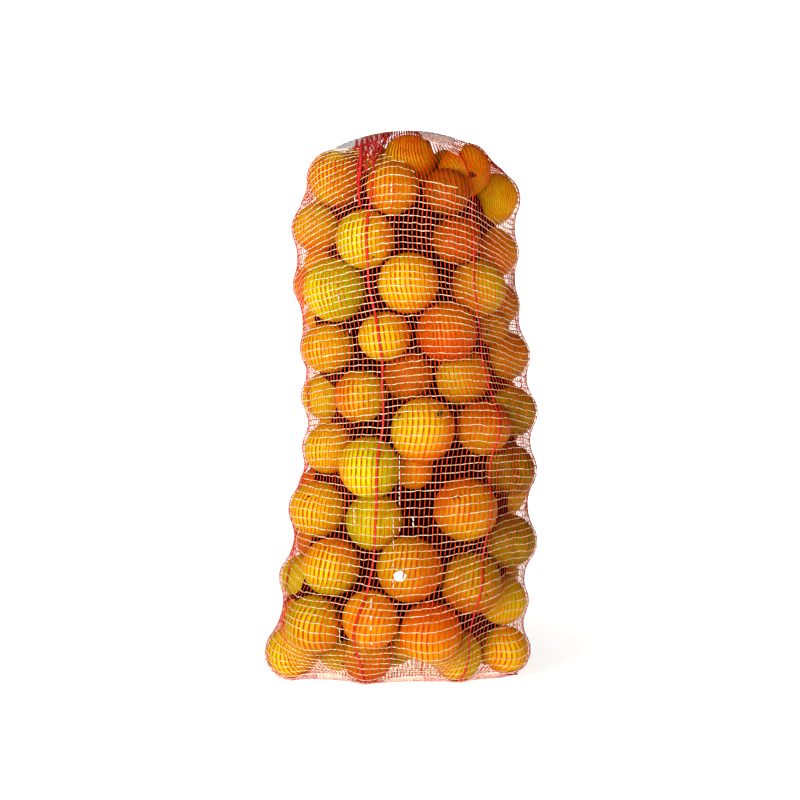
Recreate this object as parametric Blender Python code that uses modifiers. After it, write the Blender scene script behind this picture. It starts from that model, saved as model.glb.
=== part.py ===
"""A tall net sack packed tight with oranges, standing on its sewn bottom.

The sack is a flat tube of knitted net, sewn straight across the bottom and laced shut
across the mouth. The net and the fruit it is stretched over are one lumpy closed solid:
the fruit is packed first, then a net that can only pull tight is laid over it.
Metres, +Z up, the front of the sack faces -Y.
"""
import math

import bmesh
import bpy
import numpy as np
from mathutils import Vector
from mathutils.bvhtree import BVHTree

# ---- driving dimensions (metres) ----------------------------------------------------
SACK_HEIGHT = 0.652        # floor to the top of the laced mouth
NET_GAUGE = 0.0012         # how far the net stands off the fruit
FRUIT_COUNT = 108          # all the fruit in the sack
FRUIT_RADIUS = 0.0335      # mean radius of the hidden fruit
FRUIT_SPREAD = 0.0026      # how much it varies ...
FRUIT_SMALLEST = 0.028     # ... and its limits
FRUIT_LARGEST = 0.039
SETTLE_STEPS = 700
SEED = 7

# the sack's outline at a few heights: height, centre across, half width, half depth
OUTLINE = (
    (0.00, -0.003, 0.161, 0.118),
    (0.06, -0.002, 0.154, 0.120),
    (0.12, 0.005, 0.149, 0.121),
    (0.175, 0.012, 0.153, 0.122),
    (0.22, 0.017, 0.149, 0.122),
    (0.26, 0.020, 0.143, 0.122),
    (0.34, 0.023, 0.140, 0.121),
    (0.47, 0.004, 0.134, 0.120),
    (0.57, 0.009, 0.135, 0.117),
    (0.65, 0.008, 0.122, 0.114),
)
SACK_MIDDLE = (0.00155, -0.0003)  # middle of the sack's own box, set over the origin
DOME_DROP = 0.055          # how much lower the shoulders are than the crown
CROWN_GAP = 0.003          # the top fruit stays this far under the mouth
FOOT_SQUARE = 4.0          # how much squarer the sack's outline gets towards the floor
FOOT_SQUARE_TOP = 0.10     # ... and from what height down

# the fruit that shows in front, row by row from the top, in millimetres:
# across, height, radius and how far it sits back from the net's face
FRONT_FRUIT = (
    (-75, 591, 33, 20), (9, 614, 32, 35), (73, 620, 32, 30), (109, 564, 33, 0),
    (-12, 574, 31, 0), (58, 565, 28, 35), (-100, 537, 31, 0), (-37, 521, 35, 0),
    (63, 532, 29, 6), (114, 511, 32, 0), (15, 502, 28, 45), (-74, 469, 38, 0),
    (-110, 470, 29, 50), (20, 467, 36, 0), (93, 471, 35, 10), (-84, 396, 32, 0),
    (-16, 408, 31, 10), (53, 416, 36, 0), (123, 383, 33, 0), (67, 377, 35, 4),
    (14, 357, 30, 30), (-46, 341, 31, 0), (-95, 337, 29, 20), (28, 308, 39, 0),
    (91, 305, 33, 0), (132, 319, 31, 0), (-79, 277, 32, 0), (-39, 251, 37, 0),
    (14, 260, 30, 30), (128, 252, 33, 0), (76, 210, 38, 0), (-99, 205, 34, 0),
    (-23, 193, 35, 15), (136, 165, 33, 0), (10, 139, 39, 0), (-81, 137, 35, 0),
    (-127, 120, 29, 30), (78, 122, 37, 0), (116, 92, 30, 0), (-98, 73, 35, 0),
    (-28, 76, 35, 0), (38, 61, 37, 0), (-131, 30, 32, -34), (-35, 28, 30, 4),
    (68, 29, 31, 14), (133, 39, 29, 0), (113, 28, 22, 50),
)

# the net as a flat tube blown up: columns run round it, rows run up it
COLUMNS = 72
FLOOR_ROWS = 5             # flat on the floor, out from the bottom seam
FOOT_ROWS = 5              # turning up from the floor
SIDE_ROWS = 36
HEAD_ROWS = 8              # turning in to the laced mouth
FOOT_TOP = 0.045           # height at which the foot has turned upright
HEAD_BOTTOM = 0.570        # height at which the head starts to turn in
FLOOR_SPREAD = 0.80        # the part that lies on the floor is this share of the width
FLOOR_DEPTH = 0.34         # ... and of the depth
MOUTH_MIDDLE = 0.008       # the laced mouth is a ridge over the top fruit
MOUTH_HALF_WIDTH = 0.104
MOUTH_DROOP = 0.030        # its ends are this much lower than its crown
MOUTH_HELD = 0.8           # the share of the ridge that the lacing holds up
MIDDLE_SPREAD = 0.62       # the tube's middle sheet, which the net is pulled towards:
MIDDLE_BOTTOM = 0.035      # its share of the width and its lower and upper edges
MIDDLE_TOP = 0.607
PULL_STEPS = 700
PULL_ROUND = 1.0           # tension of the net round the sack ...
PULL_UP = 0.55             # ... and up it
PULL_IN = 0.0003           # how the slack net sinks between the fruit

LACE_RADIUS = 0.0008
LACE_FROM = -0.054         # the thick lacing runs along this stretch of the mouth
LACE_TO = -0.012
LACE_TURNS = 4
LACE_BELOW = 0.0075        # its middle is this far under the mouth's ridge
LACE_REACH = 0.0044        # half the height of its zigzag
LACE_ROUND = 1.3           # how much rounder than a plain wave its turns are
LACE_POINTS = 14           # points on each turn
LACE_CALM = 300            # how often its path is evened out along its length
CLEAR_STEP = 0.0002        # how it is moved forwards until it is clear of the net
CLEAR_STEPS = 60

DISC_RADIUS = 0.0072
DISC_HEIGHT_SHARE = 0.85   # it is a little wider than tall
DISC_THICKNESS = 0.0006
DISC_CREASE = 0.0004
DISC_AT = (0.000, 0.140)   # across and height
GAP = 0.0003               # between touching solids
IN_FRONT = -0.3            # well in front of the sack


def material(name, colour, roughness):
    """A Principled material in one colour."""
    made = bpy.data.materials.new(name)
    made.use_nodes = True
    shader = made.node_tree.nodes["Principled BSDF"]
    shader.inputs["Base Color"].default_value = (*colour, 1.0)
    shader.inputs["Roughness"].default_value = roughness
    made.diffuse_color = (*colour, 1.0)
    return made


def named_object(name, mesh, collection, surface):
    """Put a mesh in the collection as one named sub-part, shaded smooth."""
    made = bpy.data.objects.new(name, mesh)
    collection.objects.link(made)
    mesh.materials.append(surface)
    mesh.shade_smooth()
    return made


def outline(height):
    """Centre across, half width and half depth of the sack at the given heights."""
    table = np.array(OUTLINE)
    return [np.interp(height, table[:, 0], table[:, k]) for k in (1, 2, 3)]


# ---- the fruit ------------------------------------------------------------------------
def front_fruit():
    """Centres and radii of the fruit that shows, laid against the inside of the net."""
    rows = np.array(FRONT_FRUIT) / 1000.0
    across, height, radius, back = rows.T
    middle, half_width, half_depth = outline(height)
    share = np.clip((across - middle) / (half_width - radius), -0.985, 0.985)
    depth = back - (half_depth - radius) * np.sqrt(1.0 - share ** 2)
    height = np.maximum(height, radius + NET_GAUGE)
    return np.column_stack([across, depth, height]), radius


def hidden_fruit(count, rng):
    """Fruit dropped at random into the rest of the sack, behind the front row."""
    centres = []
    radii = []
    while len(centres) < count:
        height = rng.uniform(0.03, SACK_HEIGHT - 0.03)
        radius = rng.normal(FRUIT_RADIUS, FRUIT_SPREAD)
        radius = float(np.clip(radius, FRUIT_SMALLEST, FRUIT_LARGEST))
        angle = rng.uniform(0.0, 2.0 * math.pi)
        reach = math.sqrt(rng.uniform(0.0, 1.0))
        middle, half_width, half_depth = outline(height)
        across = middle + (half_width - radius) * reach * math.cos(angle)
        depth = (half_depth - radius) * reach * math.sin(angle)
        if depth > -0.01:
            centres.append((across, depth, height))
            radii.append(radius)
    return np.array(centres), np.array(radii)


def push_apart(centres, radii, give):
    """Move every overlapping pair apart, each fruit by its share of give."""
    gap = centres[:, None] - centres[None]
    distance = np.linalg.norm(gap, axis=2) + np.eye(len(radii))
    overlap = np.clip(radii[:, None] + radii[None] - distance, 0.0, None)
    np.fill_diagonal(overlap, 0.0)
    share = give[:, None, :] / (give[:, None, :] + give[None])
    push = gap / distance[:, :, None] * overlap[:, :, None] * share
    return centres + 0.45 * push.sum(axis=1)


def keep_inside(centres, radii):
    """Bring fruit that pokes out of the sack back inside its outline."""
    middle, half_width, half_depth = outline(centres[:, 2])
    across = centres[:, 0] - middle
    depth = centres[:, 1]
    square = 2.2 + FOOT_SQUARE * np.clip(1.0 - centres[:, 2] / FOOT_SQUARE_TOP, 0.0, 1.0)
    reach = (np.abs(across / (half_width - radii)) ** square
             + np.abs(depth / (half_depth - radii)) ** square) ** (1.0 / square)
    shrink = np.where(reach > 1.0, 1.0 / reach, 1.0)
    across = across * shrink
    depth = depth * shrink
    edge = np.clip(np.hypot(across / half_width, depth / half_depth), 0.0, 1.0)
    crown = SACK_HEIGHT - CROWN_GAP - NET_GAUGE - radii - DOME_DROP * edge ** 2.5
    height = np.maximum(np.minimum(centres[:, 2], crown), radii + NET_GAUGE)
    return np.column_stack([middle + across, depth, height])


def packed_fruit():
    """Settle all the fruit in the sack; the front fruit keeps its place in the view."""
    rng = np.random.default_rng(SEED)
    shown, shown_radii = front_fruit()
    hidden, hidden_radii = hidden_fruit(FRUIT_COUNT - len(shown), rng)
    centres = np.vstack([shown, hidden])
    radii = np.concatenate([shown_radii, hidden_radii])
    front = np.arange(len(radii)) < len(shown)
    home = centres.copy()
    give = np.where(front[:, None], np.array([[0.25, 0.8, 0.25]]), 1.0)
    spring = np.array([0.10, 0.02, 0.10])
    for step in range(SETTLE_STEPS):
        ease = 1.0 - step / SETTLE_STEPS
        centres[~front, 2] -= 0.0002 * ease
        centres[~front, 1] += 0.0002 * ease
        centres[front] += (home[front] - centres[front]) * spring * ease
        for _ in range(3):
            centres = push_apart(centres, radii, give)
            centres = keep_inside(centres, radii)
    return centres, radii


# ---- the net pulled over it -------------------------------------------------------------
def mouth_height(across):
    """Height of the mouth's ridge, an arch over the top fruit."""
    share = (across - MOUTH_MIDDLE) / MOUTH_HALF_WIDTH
    return SACK_HEIGHT - MOUTH_DROOP * share ** 2


def profile_rows():
    """Height, spread across and spread in depth of the rows below the head."""
    rows = []
    for k in range(FLOOR_ROWS):
        rows.append((0.0, FLOOR_SPREAD, FLOOR_DEPTH * k / FLOOR_ROWS))
    for k in range(FOOT_ROWS):
        turn = 0.5 * math.pi * k / FOOT_ROWS
        rows.append((FOOT_TOP * (1 - math.cos(turn)),
                     FLOOR_SPREAD + (1.0 - FLOOR_SPREAD) * math.sin(turn),
                     FLOOR_DEPTH + (1.0 - FLOOR_DEPTH) * math.sin(turn)))
    for k in range(SIDE_ROWS):
        rows.append((FOOT_TOP + (HEAD_BOTTOM - FOOT_TOP) * k / SIDE_ROWS, 1.0, 1.0))
    return np.array(rows)


def loose_net():
    """Points of the blown-up tube outside the fruit, points on its middle sheet, and
    which of them are held."""
    angle = 2.0 * math.pi * np.arange(COLUMNS) / COLUMNS
    rows = profile_rows()
    middle, half_width, half_depth = outline(rows[:, 0])
    across = middle[:, None] + (half_width * rows[:, 1])[:, None] * np.cos(angle)
    depth = (half_depth * rows[:, 2])[:, None] * np.sin(angle)
    height = np.repeat(rows[:, :1], COLUMNS, axis=1)

    turn = 0.5 * math.pi * np.arange(HEAD_ROWS + 1)[:, None] / HEAD_ROWS
    middle, half_width, half_depth = outline(HEAD_BOTTOM)
    mouth = MOUTH_MIDDLE + MOUTH_HALF_WIDTH * np.cos(angle)
    side = middle + half_width * np.cos(angle)
    head_across = mouth + (side - mouth) * np.cos(turn)
    head_depth = half_depth * np.sin(angle) * np.cos(turn)
    head_height = HEAD_BOTTOM + (mouth_height(mouth) - HEAD_BOTTOM) * np.sin(turn)

    outer = np.stack([np.vstack([across, head_across]), np.vstack([depth, head_depth]),
                      np.vstack([height, head_height])], axis=2)
    centre = outline(outer[:, :, 2])[0]
    inner = np.stack([centre + MIDDLE_SPREAD * (outer[:, :, 0] - centre),
                      np.zeros(outer.shape[:2]),
                      np.clip(outer[:, :, 2], MIDDLE_BOTTOM, MIDDLE_TOP)], axis=2)
    held = np.zeros(outer.shape[:2], bool)
    held[:FLOOR_ROWS] = True
    held[-1] = np.abs(np.cos(angle)) < MOUTH_HELD
    return outer, inner, held


def fruit_reach(start, way, centres, radii):
    """How far along each ray the fruit, with the net's thickness on it, reaches."""
    reach = np.zeros(start.shape[:2])
    for centre, radius in zip(centres, radii):
        offset = start - centre
        along = (offset * way).sum(axis=2)
        room = along ** 2 - (offset ** 2).sum(axis=2) + (radius + NET_GAUGE) ** 2
        hit = np.where(room > 0.0, -along + np.sqrt(np.maximum(room, 0.0)), 0.0)
        reach = np.maximum(reach, hit)
    return reach


def tight_net():
    """Pull the loose net in along its rays until the fruit stops it."""
    outer, inner, held = loose_net()
    way = outer - inner
    length = np.linalg.norm(way, axis=2)
    way = way / length[:, :, None]
    centres, radii = packed_fruit()
    stop = fruit_reach(inner, way, centres, radii)
    reach = np.where(held, length, np.maximum(length, stop))
    back = (-np.arange(COLUMNS)) % COLUMNS
    for _ in range(PULL_STEPS):
        points = inner + way * reach[:, :, None]
        points[:, :, 2] = np.maximum(points[:, :, 2], 0.0)
        sides = 0.5 * (np.roll(points, 1, axis=1) + np.roll(points, -1, axis=1))
        below = np.vstack([points[1:2, back], points[:-1]])
        above = np.vstack([points[1:], points[-2:-1, back]])
        ends = 0.5 * (below + above)
        aim = (PULL_ROUND * sides + PULL_UP * ends) / (PULL_ROUND + PULL_UP)
        step = ((aim - points) * way).sum(axis=2) - PULL_IN
        reach = np.where(held, reach, np.maximum(reach + 0.8 * step, stop))
    points = inner + way * reach[:, :, None]
    points[:, :, 2] = np.maximum(points[:, :, 2], 0.0)
    return points


def net_mesh():
    """The tight net as a closed mesh: a grid rolled into a tube and closed at both ends."""
    points = tight_net()
    rows = points.shape[0]
    shape = bmesh.new()
    bmesh.ops.create_grid(shape, x_segments=COLUMNS, y_segments=rows - 1, size=1.0)
    for vertex in shape.verts:
        column = round((vertex.co.x + 1.0) / 2.0 * COLUMNS) % COLUMNS
        row = round((vertex.co.y + 1.0) / 2.0 * (rows - 1))
        spot = points[row, column]
        if row in (0, rows - 1):
            spot = 0.5 * (spot + points[row, (-column) % COLUMNS])
        vertex.co = spot
    bmesh.ops.remove_doubles(shape, verts=shape.verts, dist=0.00002)
    bmesh.ops.recalc_face_normals(shape, faces=shape.faces)
    made = bpy.data.meshes.new("net_of_oranges")
    shape.to_mesh(made)
    shape.free()
    return made


# ---- what lies on the net ---------------------------------------------------------------
def depth_clear_of(surface, across, height, distance):
    """How far back a point can lie and still be a distance in front of the surface."""
    start = Vector((across, IN_FRONT, height))
    point, _, _, _ = surface.ray_cast(start, Vector((0.0, 1.0, 0.0)))
    for _ in range(CLEAR_STEPS):
        near, _, _, off = surface.find_nearest(point)
        if point.y > near.y or off < distance:
            point.y -= CLEAR_STEP
    return point.y


def lacing_curve(surface):
    """The thick lacing that zigzags over the gathered mouth."""
    steps = LACE_TURNS * LACE_POINTS
    run = np.linspace(0.0, 1.0, steps + 1)
    across = LACE_FROM + (LACE_TO - LACE_FROM) * run
    wave = np.tanh(LACE_ROUND * np.sin(2.0 * math.pi * LACE_TURNS * run))
    swing = LACE_REACH * wave / math.tanh(LACE_ROUND)
    heights = np.array([mouth_height(x) for x in across]) - LACE_BELOW + swing
    clear = LACE_RADIUS * 1.6 + GAP
    laid = [depth_clear_of(surface, x, z, clear) for x, z in zip(across, heights)]
    depths = np.array(laid)
    for _ in range(LACE_CALM):
        depths[1:-1] = 0.25 * depths[:-2] + 0.5 * depths[1:-1] + 0.25 * depths[2:]
        depths = np.minimum(depths, laid)
    curve = bpy.data.curves.new("mouth_lacing", "CURVE")
    curve.dimensions = "3D"
    curve.bevel_depth = LACE_RADIUS
    curve.bevel_resolution = 2
    curve.use_fill_caps = True
    spline = curve.splines.new("POLY")
    spline.points.add(steps)
    for spot, x, y, z in zip(spline.points, across, depths, heights):
        spot.co = (x, y, z, 1.0)
    return curve


def lacing_mesh(surface):
    """The lacing as a tube of flat triangles."""
    tube = bpy.data.objects.new("lacing_path", lacing_curve(surface))
    bpy.context.scene.collection.objects.link(tube)
    graph = bpy.context.evaluated_depsgraph_get()
    made = bpy.data.meshes.new_from_object(tube.evaluated_get(graph))
    bpy.data.objects.remove(tube, do_unlink=True)
    shape = bmesh.new()
    shape.from_mesh(made)
    bmesh.ops.remove_doubles(shape, verts=shape.verts, dist=0.00002)
    bmesh.ops.triangulate(shape, faces=shape.faces)
    bmesh.ops.recalc_face_normals(shape, faces=shape.faces)
    shape.to_mesh(made)
    shape.free()
    made.materials.clear()
    return made


def disc_mesh(surface):
    """A small limp disc that follows the net under it, a little creased."""
    shape = bmesh.new()
    bmesh.ops.create_circle(shape, cap_ends=True, cap_tris=True, segments=24, radius=1.0)
    bmesh.ops.subdivide_edges(shape, edges=shape.edges, cuts=1, use_grid_fill=True)
    for vertex in shape.verts:
        spread = min(vertex.co.xy.length, 1.0)
        turn = math.atan2(vertex.co.y, vertex.co.x)
        start = Vector((DISC_AT[0] + DISC_RADIUS * vertex.co.x, IN_FRONT,
                        DISC_AT[1] + DISC_RADIUS * DISC_HEIGHT_SHARE * vertex.co.y))
        near, _, _, _ = surface.ray_cast(start, Vector((0.0, 1.0, 0.0)))
        crease = DISC_CREASE * spread * (1.0 + math.sin(3.0 * turn + 0.7))
        near.y -= 2.0 * GAP + crease
        vertex.co = near
    made = bpy.data.meshes.new("white_disc")
    shape.to_mesh(made)
    shape.free()
    return made


def main():
    for old in list(bpy.data.objects):
        bpy.data.objects.remove(old, do_unlink=True)
    parts = bpy.data.collections.new("net_of_oranges")
    bpy.context.scene.collection.children.link(parts)

    peel = material("orange_peel_under_red_net", (0.80, 0.30, 0.03), 0.45)
    net = named_object("net_of_oranges", net_mesh(), parts, peel)
    shape = bmesh.new()
    shape.from_mesh(net.data)
    surface = BVHTree.FromBMesh(shape)
    shape.free()

    red = material("red_lacing", (0.65, 0.03, 0.03), 0.5)
    named_object("mouth_lacing", lacing_mesh(surface), parts, red)

    white = material("white_disc_film", (0.85, 0.85, 0.83), 0.5)
    disc = named_object("white_disc", disc_mesh(surface), parts, white)
    thickness = disc.modifiers.new("thickness", "SOLIDIFY")
    thickness.thickness = DISC_THICKNESS
    thickness.offset = 1.0

    for piece in parts.objects:
        piece.location = (-SACK_MIDDLE[0], -SACK_MIDDLE[1], 0.0)


main()
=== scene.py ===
# %% [markdown]
# # A net sack of oranges
# On the real object a flat tube of knitted net, red tapes up and down and cream threads
# across, is filled with oranges until it is drum tight. The fruit makes the shape and the
# net only follows it. So this lesson packs the fruit first, pulls a surface over it, and
# then knits the net on that surface.
#
# The imported model is the frame. It gives the real size and place, so it is loaded before
# anything else, and its box is printed.

# %% Load the frame
import math

import bmesh
import bpy
import numpy as np
from mathutils import Matrix, Vector
from mathutils.bvhtree import BVHTree
from mathutils.kdtree import KDTree


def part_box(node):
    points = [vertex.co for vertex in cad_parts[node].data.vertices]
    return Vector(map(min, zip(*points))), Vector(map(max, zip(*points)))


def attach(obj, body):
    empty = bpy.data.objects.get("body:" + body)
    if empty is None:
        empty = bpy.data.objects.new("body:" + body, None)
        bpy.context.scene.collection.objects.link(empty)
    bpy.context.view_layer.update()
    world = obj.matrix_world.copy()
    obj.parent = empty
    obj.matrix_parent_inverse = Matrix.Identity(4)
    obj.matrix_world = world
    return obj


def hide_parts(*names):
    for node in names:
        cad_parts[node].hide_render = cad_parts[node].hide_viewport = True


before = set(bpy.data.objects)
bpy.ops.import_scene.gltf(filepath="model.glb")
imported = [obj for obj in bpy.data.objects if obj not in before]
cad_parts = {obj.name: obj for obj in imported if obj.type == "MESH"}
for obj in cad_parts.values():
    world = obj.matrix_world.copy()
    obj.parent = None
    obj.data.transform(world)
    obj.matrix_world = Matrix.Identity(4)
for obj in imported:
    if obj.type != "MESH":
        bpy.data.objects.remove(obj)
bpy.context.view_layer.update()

MM = 0.001
sack_low, sack_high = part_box("net_of_oranges")
print("sack box in mm:", [round(x / MM) for x in sack_low], [round(x / MM) for x in sack_high])

# %% [markdown]
# ## The sack's outline
# A full sack is a soft column: a little wider at the foot, leaning gently to one side, and
# deeper than a plank but flatter than a drum. A short table of heights with the middle,
# half width and half depth says all of that, and straight interpolation between the rows
# is enough, because the fruit breaks up the outline anyway.

# %% Outline of the sack
SACK_HEIGHT = 0.652
SACK_MIDDLE = np.array([0.00155, -0.0003, 0.0])
NET_GAUGE = 0.0012
OUTLINE = np.array([
    (0.00, -0.003, 0.161, 0.118),
    (0.06, -0.002, 0.154, 0.120),
    (0.12, 0.005, 0.149, 0.121),
    (0.175, 0.012, 0.153, 0.122),
    (0.22, 0.017, 0.149, 0.122),
    (0.26, 0.020, 0.143, 0.122),
    (0.34, 0.023, 0.140, 0.121),
    (0.47, 0.004, 0.134, 0.120),
    (0.57, 0.009, 0.135, 0.117),
    (0.65, 0.008, 0.122, 0.114),
])


def outline(height):
    """Centre across, half width and half depth of the sack at the given heights."""
    return [np.interp(height, OUTLINE[:, 0], OUTLINE[:, k]) for k in (1, 2, 3)]


print("girth at mid height in mm:", round(math.pi * sum(outline(0.33)[1:]) / MM))

# %% [markdown]
# ## The fruit that shows
# Oranges in one sack differ in size and in colour, from green yellow through gold to a
# deep orange, and some are dull where others shine. The ones that show in front are placed
# row by row from the top, since they set the look of the whole sack. Each has a ripeness
# from 0, green, to 1, deep orange, and a dullness from 0, bright, up to 1 or so, which
# browns the peel. The dullness is partly the fruit's own dull tone and partly painted
# shade, mostly on the fruit that lie in shade on the right of the sack.

# %% Front fruit
# across, height, radius and set back in millimetres, then ripeness and dullness, the last partly
# painted shade
FRONT_FRUIT = (
    (-75, 591, 33, 20, 0.65, 0.23), (9, 614, 32, 35, 0.61, 0.00), (73, 620, 32, 30, 0.65, 0.40),
    (109, 564, 33, 0, 0.40, 0.00), (-12, 574, 31, 0, 0.67, 0.41), (58, 565, 28, 35, 0.90, 0.95),
    (-100, 537, 31, 0, 0.57, 0.22), (-37, 521, 35, 0, 0.45, 0.15), (63, 532, 29, 6, 0.88, 0.70),
    (114, 511, 32, 0, 0.76, 0.07), (15, 502, 28, 45, 0.39, 0.07), (-74, 469, 38, 0, 0.17, 0.00),
    (-110, 470, 29, 50, 0.61, 0.25), (20, 467, 36, 0, 0.60, 0.16), (93, 471, 35, 10, 0.50, 0.51),
    (-84, 396, 32, 0, 0.53, 0.19), (-16, 408, 31, 10, 0.56, 0.25), (53, 416, 36, 0, 0.88, 0.45),
    (123, 383, 33, 0, 0.62, 0.60), (67, 377, 35, 4, 0.60, 0.35), (14, 357, 30, 30, 0.79, 0.63),
    (-46, 341, 31, 0, 0.55, 0.36), (-95, 337, 29, 20, 0.36, 0.07), (28, 308, 39, 0, 0.63, 0.18),
    (91, 305, 33, 0, 0.76, 0.65), (132, 319, 31, 0, 0.19, 0.88), (-79, 277, 32, 0, 0.49, 0.07),
    (-39, 251, 37, 0, 0.21, 0.00), (14, 260, 30, 30, 0.73, 0.12), (128, 252, 33, 0, 0.10, 1.20),
    (76, 210, 38, 0, 0.66, 0.42), (-99, 205, 34, 0, 0.47, 0.12), (-23, 193, 35, 15, 0.28, 0.00),
    (136, 165, 33, 0, 0.20, 0.85), (10, 139, 39, 0, 0.68, 0.45), (-81, 137, 35, 0, 0.48, 0.07),
    (-127, 120, 29, 30, 0.15, 0.00), (78, 122, 37, 0, 0.47, 0.69), (116, 92, 30, 0, 0.43, 0.00),
    (-98, 73, 35, 0, 0.47, 0.34), (-28, 76, 35, 0, 0.66, 0.07), (38, 61, 37, 0, 0.74, 0.16),
    (-131, 30, 32, -34, 0.39, 0.00), (-35, 28, 30, 4, 0.72, 0.52), (68, 29, 31, 14, 0.33, 0.00),
    (133, 39, 29, 0, 0.52, 0.00), (113, 28, 22, 50, 0.60, 0.80),
)


def front_fruit():
    """Centres and radii of the fruit that shows, laid against the inside of the net."""
    across, height, radius, back = np.array(FRONT_FRUIT)[:, :4].T * MM
    middle, half_width, half_depth = outline(height)
    share = np.clip((across - middle) / (half_width - radius), -0.985, 0.985)
    depth = back - (half_depth - radius) * np.sqrt(1.0 - share ** 2)
    height = np.maximum(height, radius + NET_GAUGE)
    return np.column_stack([across, depth, height]), radius


print("front fruit:", len(FRONT_FRUIT))

# %% [markdown]
# ## Packing the rest
# The hidden fruit could be placed at random, but then some would overlap and some gaps
# would be empty. Real fruit settles: it is pushed apart where it touches and held in by
# the net. The same two rules, repeated a few hundred times, give a heap that looks poured.
# The seed is fixed, so the heap is the same each time.

# %% Pack the sack
FRUIT_COUNT = 108
FRUIT_RADIUS = 0.0335
FRUIT_SPREAD = 0.0026
FRUIT_SMALLEST = 0.028
FRUIT_LARGEST = 0.039
SETTLE_STEPS = 700
DOME_DROP = 0.055
CROWN_GAP = 0.003
FOOT_SQUARE = 4.0
FOOT_SQUARE_TOP = 0.10
SACK_SQUARE = 2.2
BACK_FROM = -0.01
PUSH = 0.45
PUSHES = 3
SINK = 0.0002
# how easily the front fruit gives way across, in depth and up, and how it springs home
FRONT_GIVE = (0.25, 0.8, 0.25)
FRONT_SPRING = (0.10, 0.02, 0.10)
SEED = 7


def hidden_fruit(count, rng):
    """Fruit dropped at random into the rest of the sack, behind the front row."""
    centres = []
    radii = []
    while len(centres) < count:
        height = rng.uniform(0.03, SACK_HEIGHT - 0.03)
        radius = rng.normal(FRUIT_RADIUS, FRUIT_SPREAD)
        radius = float(np.clip(radius, FRUIT_SMALLEST, FRUIT_LARGEST))
        angle = rng.uniform(0.0, 2.0 * math.pi)
        reach = math.sqrt(rng.uniform(0.0, 1.0))
        middle, half_width, half_depth = outline(height)
        across = middle + (half_width - radius) * reach * math.cos(angle)
        depth = (half_depth - radius) * reach * math.sin(angle)
        if depth > BACK_FROM:
            centres.append((across, depth, height))
            radii.append(radius)
    return np.array(centres), np.array(radii)


def push_apart(centres, radii, give):
    """Move every overlapping pair apart, each fruit by its share of give."""
    gap = centres[:, None] - centres[None]
    distance = np.linalg.norm(gap, axis=2) + np.eye(len(radii))
    overlap = np.clip(radii[:, None] + radii[None] - distance, 0.0, None)
    np.fill_diagonal(overlap, 0.0)
    share = give[:, None, :] / (give[:, None, :] + give[None])
    push = gap / distance[:, :, None] * overlap[:, :, None] * share
    return centres + PUSH * push.sum(axis=1)


def keep_inside(centres, radii):
    """Bring fruit that pokes out of the sack back inside its outline."""
    middle, half_width, half_depth = outline(centres[:, 2])
    across = centres[:, 0] - middle
    depth = centres[:, 1]
    low = np.clip(1.0 - centres[:, 2] / FOOT_SQUARE_TOP, 0.0, 1.0)
    square = SACK_SQUARE + FOOT_SQUARE * low
    reach = (np.abs(across / (half_width - radii)) ** square
             + np.abs(depth / (half_depth - radii)) ** square) ** (1.0 / square)
    shrink = np.where(reach > 1.0, 1.0 / reach, 1.0)
    across = across * shrink
    depth = depth * shrink
    edge = np.clip(np.hypot(across / half_width, depth / half_depth), 0.0, 1.0)
    crown = SACK_HEIGHT - CROWN_GAP - NET_GAUGE - radii - DOME_DROP * edge ** 2.5
    height = np.maximum(np.minimum(centres[:, 2], crown), radii + NET_GAUGE)
    return np.column_stack([middle + across, depth, height])


def packed_fruit():
    """Settle all the fruit in the sack; the front fruit keeps its place in the view."""
    rng = np.random.default_rng(SEED)
    shown, shown_radii = front_fruit()
    hidden, hidden_radii = hidden_fruit(FRUIT_COUNT - len(shown), rng)
    centres = np.vstack([shown, hidden])
    radii = np.concatenate([shown_radii, hidden_radii])
    front = np.arange(len(radii)) < len(shown)
    home = centres.copy()
    give = np.where(front[:, None], np.array([FRONT_GIVE]), 1.0)
    spring = np.array(FRONT_SPRING)
    for step in range(SETTLE_STEPS):
        ease = 1.0 - step / SETTLE_STEPS
        centres[~front, 2] -= SINK * ease
        centres[~front, 1] += SINK * ease
        centres[front] += (home[front] - centres[front]) * spring * ease
        for _ in range(PUSHES):
            centres = push_apart(centres, radii, give)
            centres = keep_inside(centres, radii)
    return centres, radii


fruit_centres, fruit_radii = packed_fruit()
print("fruit:", len(fruit_radii), "mean diameter in mm:", round(2 * fruit_radii.mean() / MM, 1))

# %% [markdown]
# ## The surface that the net lies on
# A net under tension is a soap film that the fruit holds out: between two oranges it runs
# almost straight, and it sinks a little where it is slack. It could be a cloth simulation,
# but a film over round fruit needs only one number for each point, how far along its own
# ray the net has been pulled in. Each point moves towards the middle of its neighbours and
# stops at the fruit. A coarse grid settles first and a fine one takes over from it.

# %% Pull the film over the fruit
COLUMNS = 72
FLOOR_ROWS = 5
FOOT_ROWS = 5
SIDE_ROWS = 36
HEAD_ROWS = 8
FLOOR_SPREAD = 0.80
FLOOR_DEPTH = 0.34
FOOT_TOP = 0.045
HEAD_BOTTOM = 0.570
MOUTH_MIDDLE = 0.008
MOUTH_HALF_WIDTH = 0.104
MOUTH_DROOP = 0.030
MOUTH_HELD = 0.8
MIDDLE_SPREAD = 0.62
MIDDLE_BOTTOM = 0.035
MIDDLE_TOP = 0.607
PULL_ROUND = 1.0
PULL_UP = 0.55
PULL_IN = 0.0003
# the net is drawn up tight towards its mouth, so there it spans from fruit to fruit
SLACK_TO = 0.300
SLACK_NONE = 0.480
COARSE_STEPS = 700
FINE_STEPS = 250
PULL_PACE = 0.8


def mouth_height(across):
    """Height of the mouth's ridge, an arch over the top fruit."""
    share = (across - MOUTH_MIDDLE) / MOUTH_HALF_WIDTH
    return SACK_HEIGHT - MOUTH_DROOP * share ** 2


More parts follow.
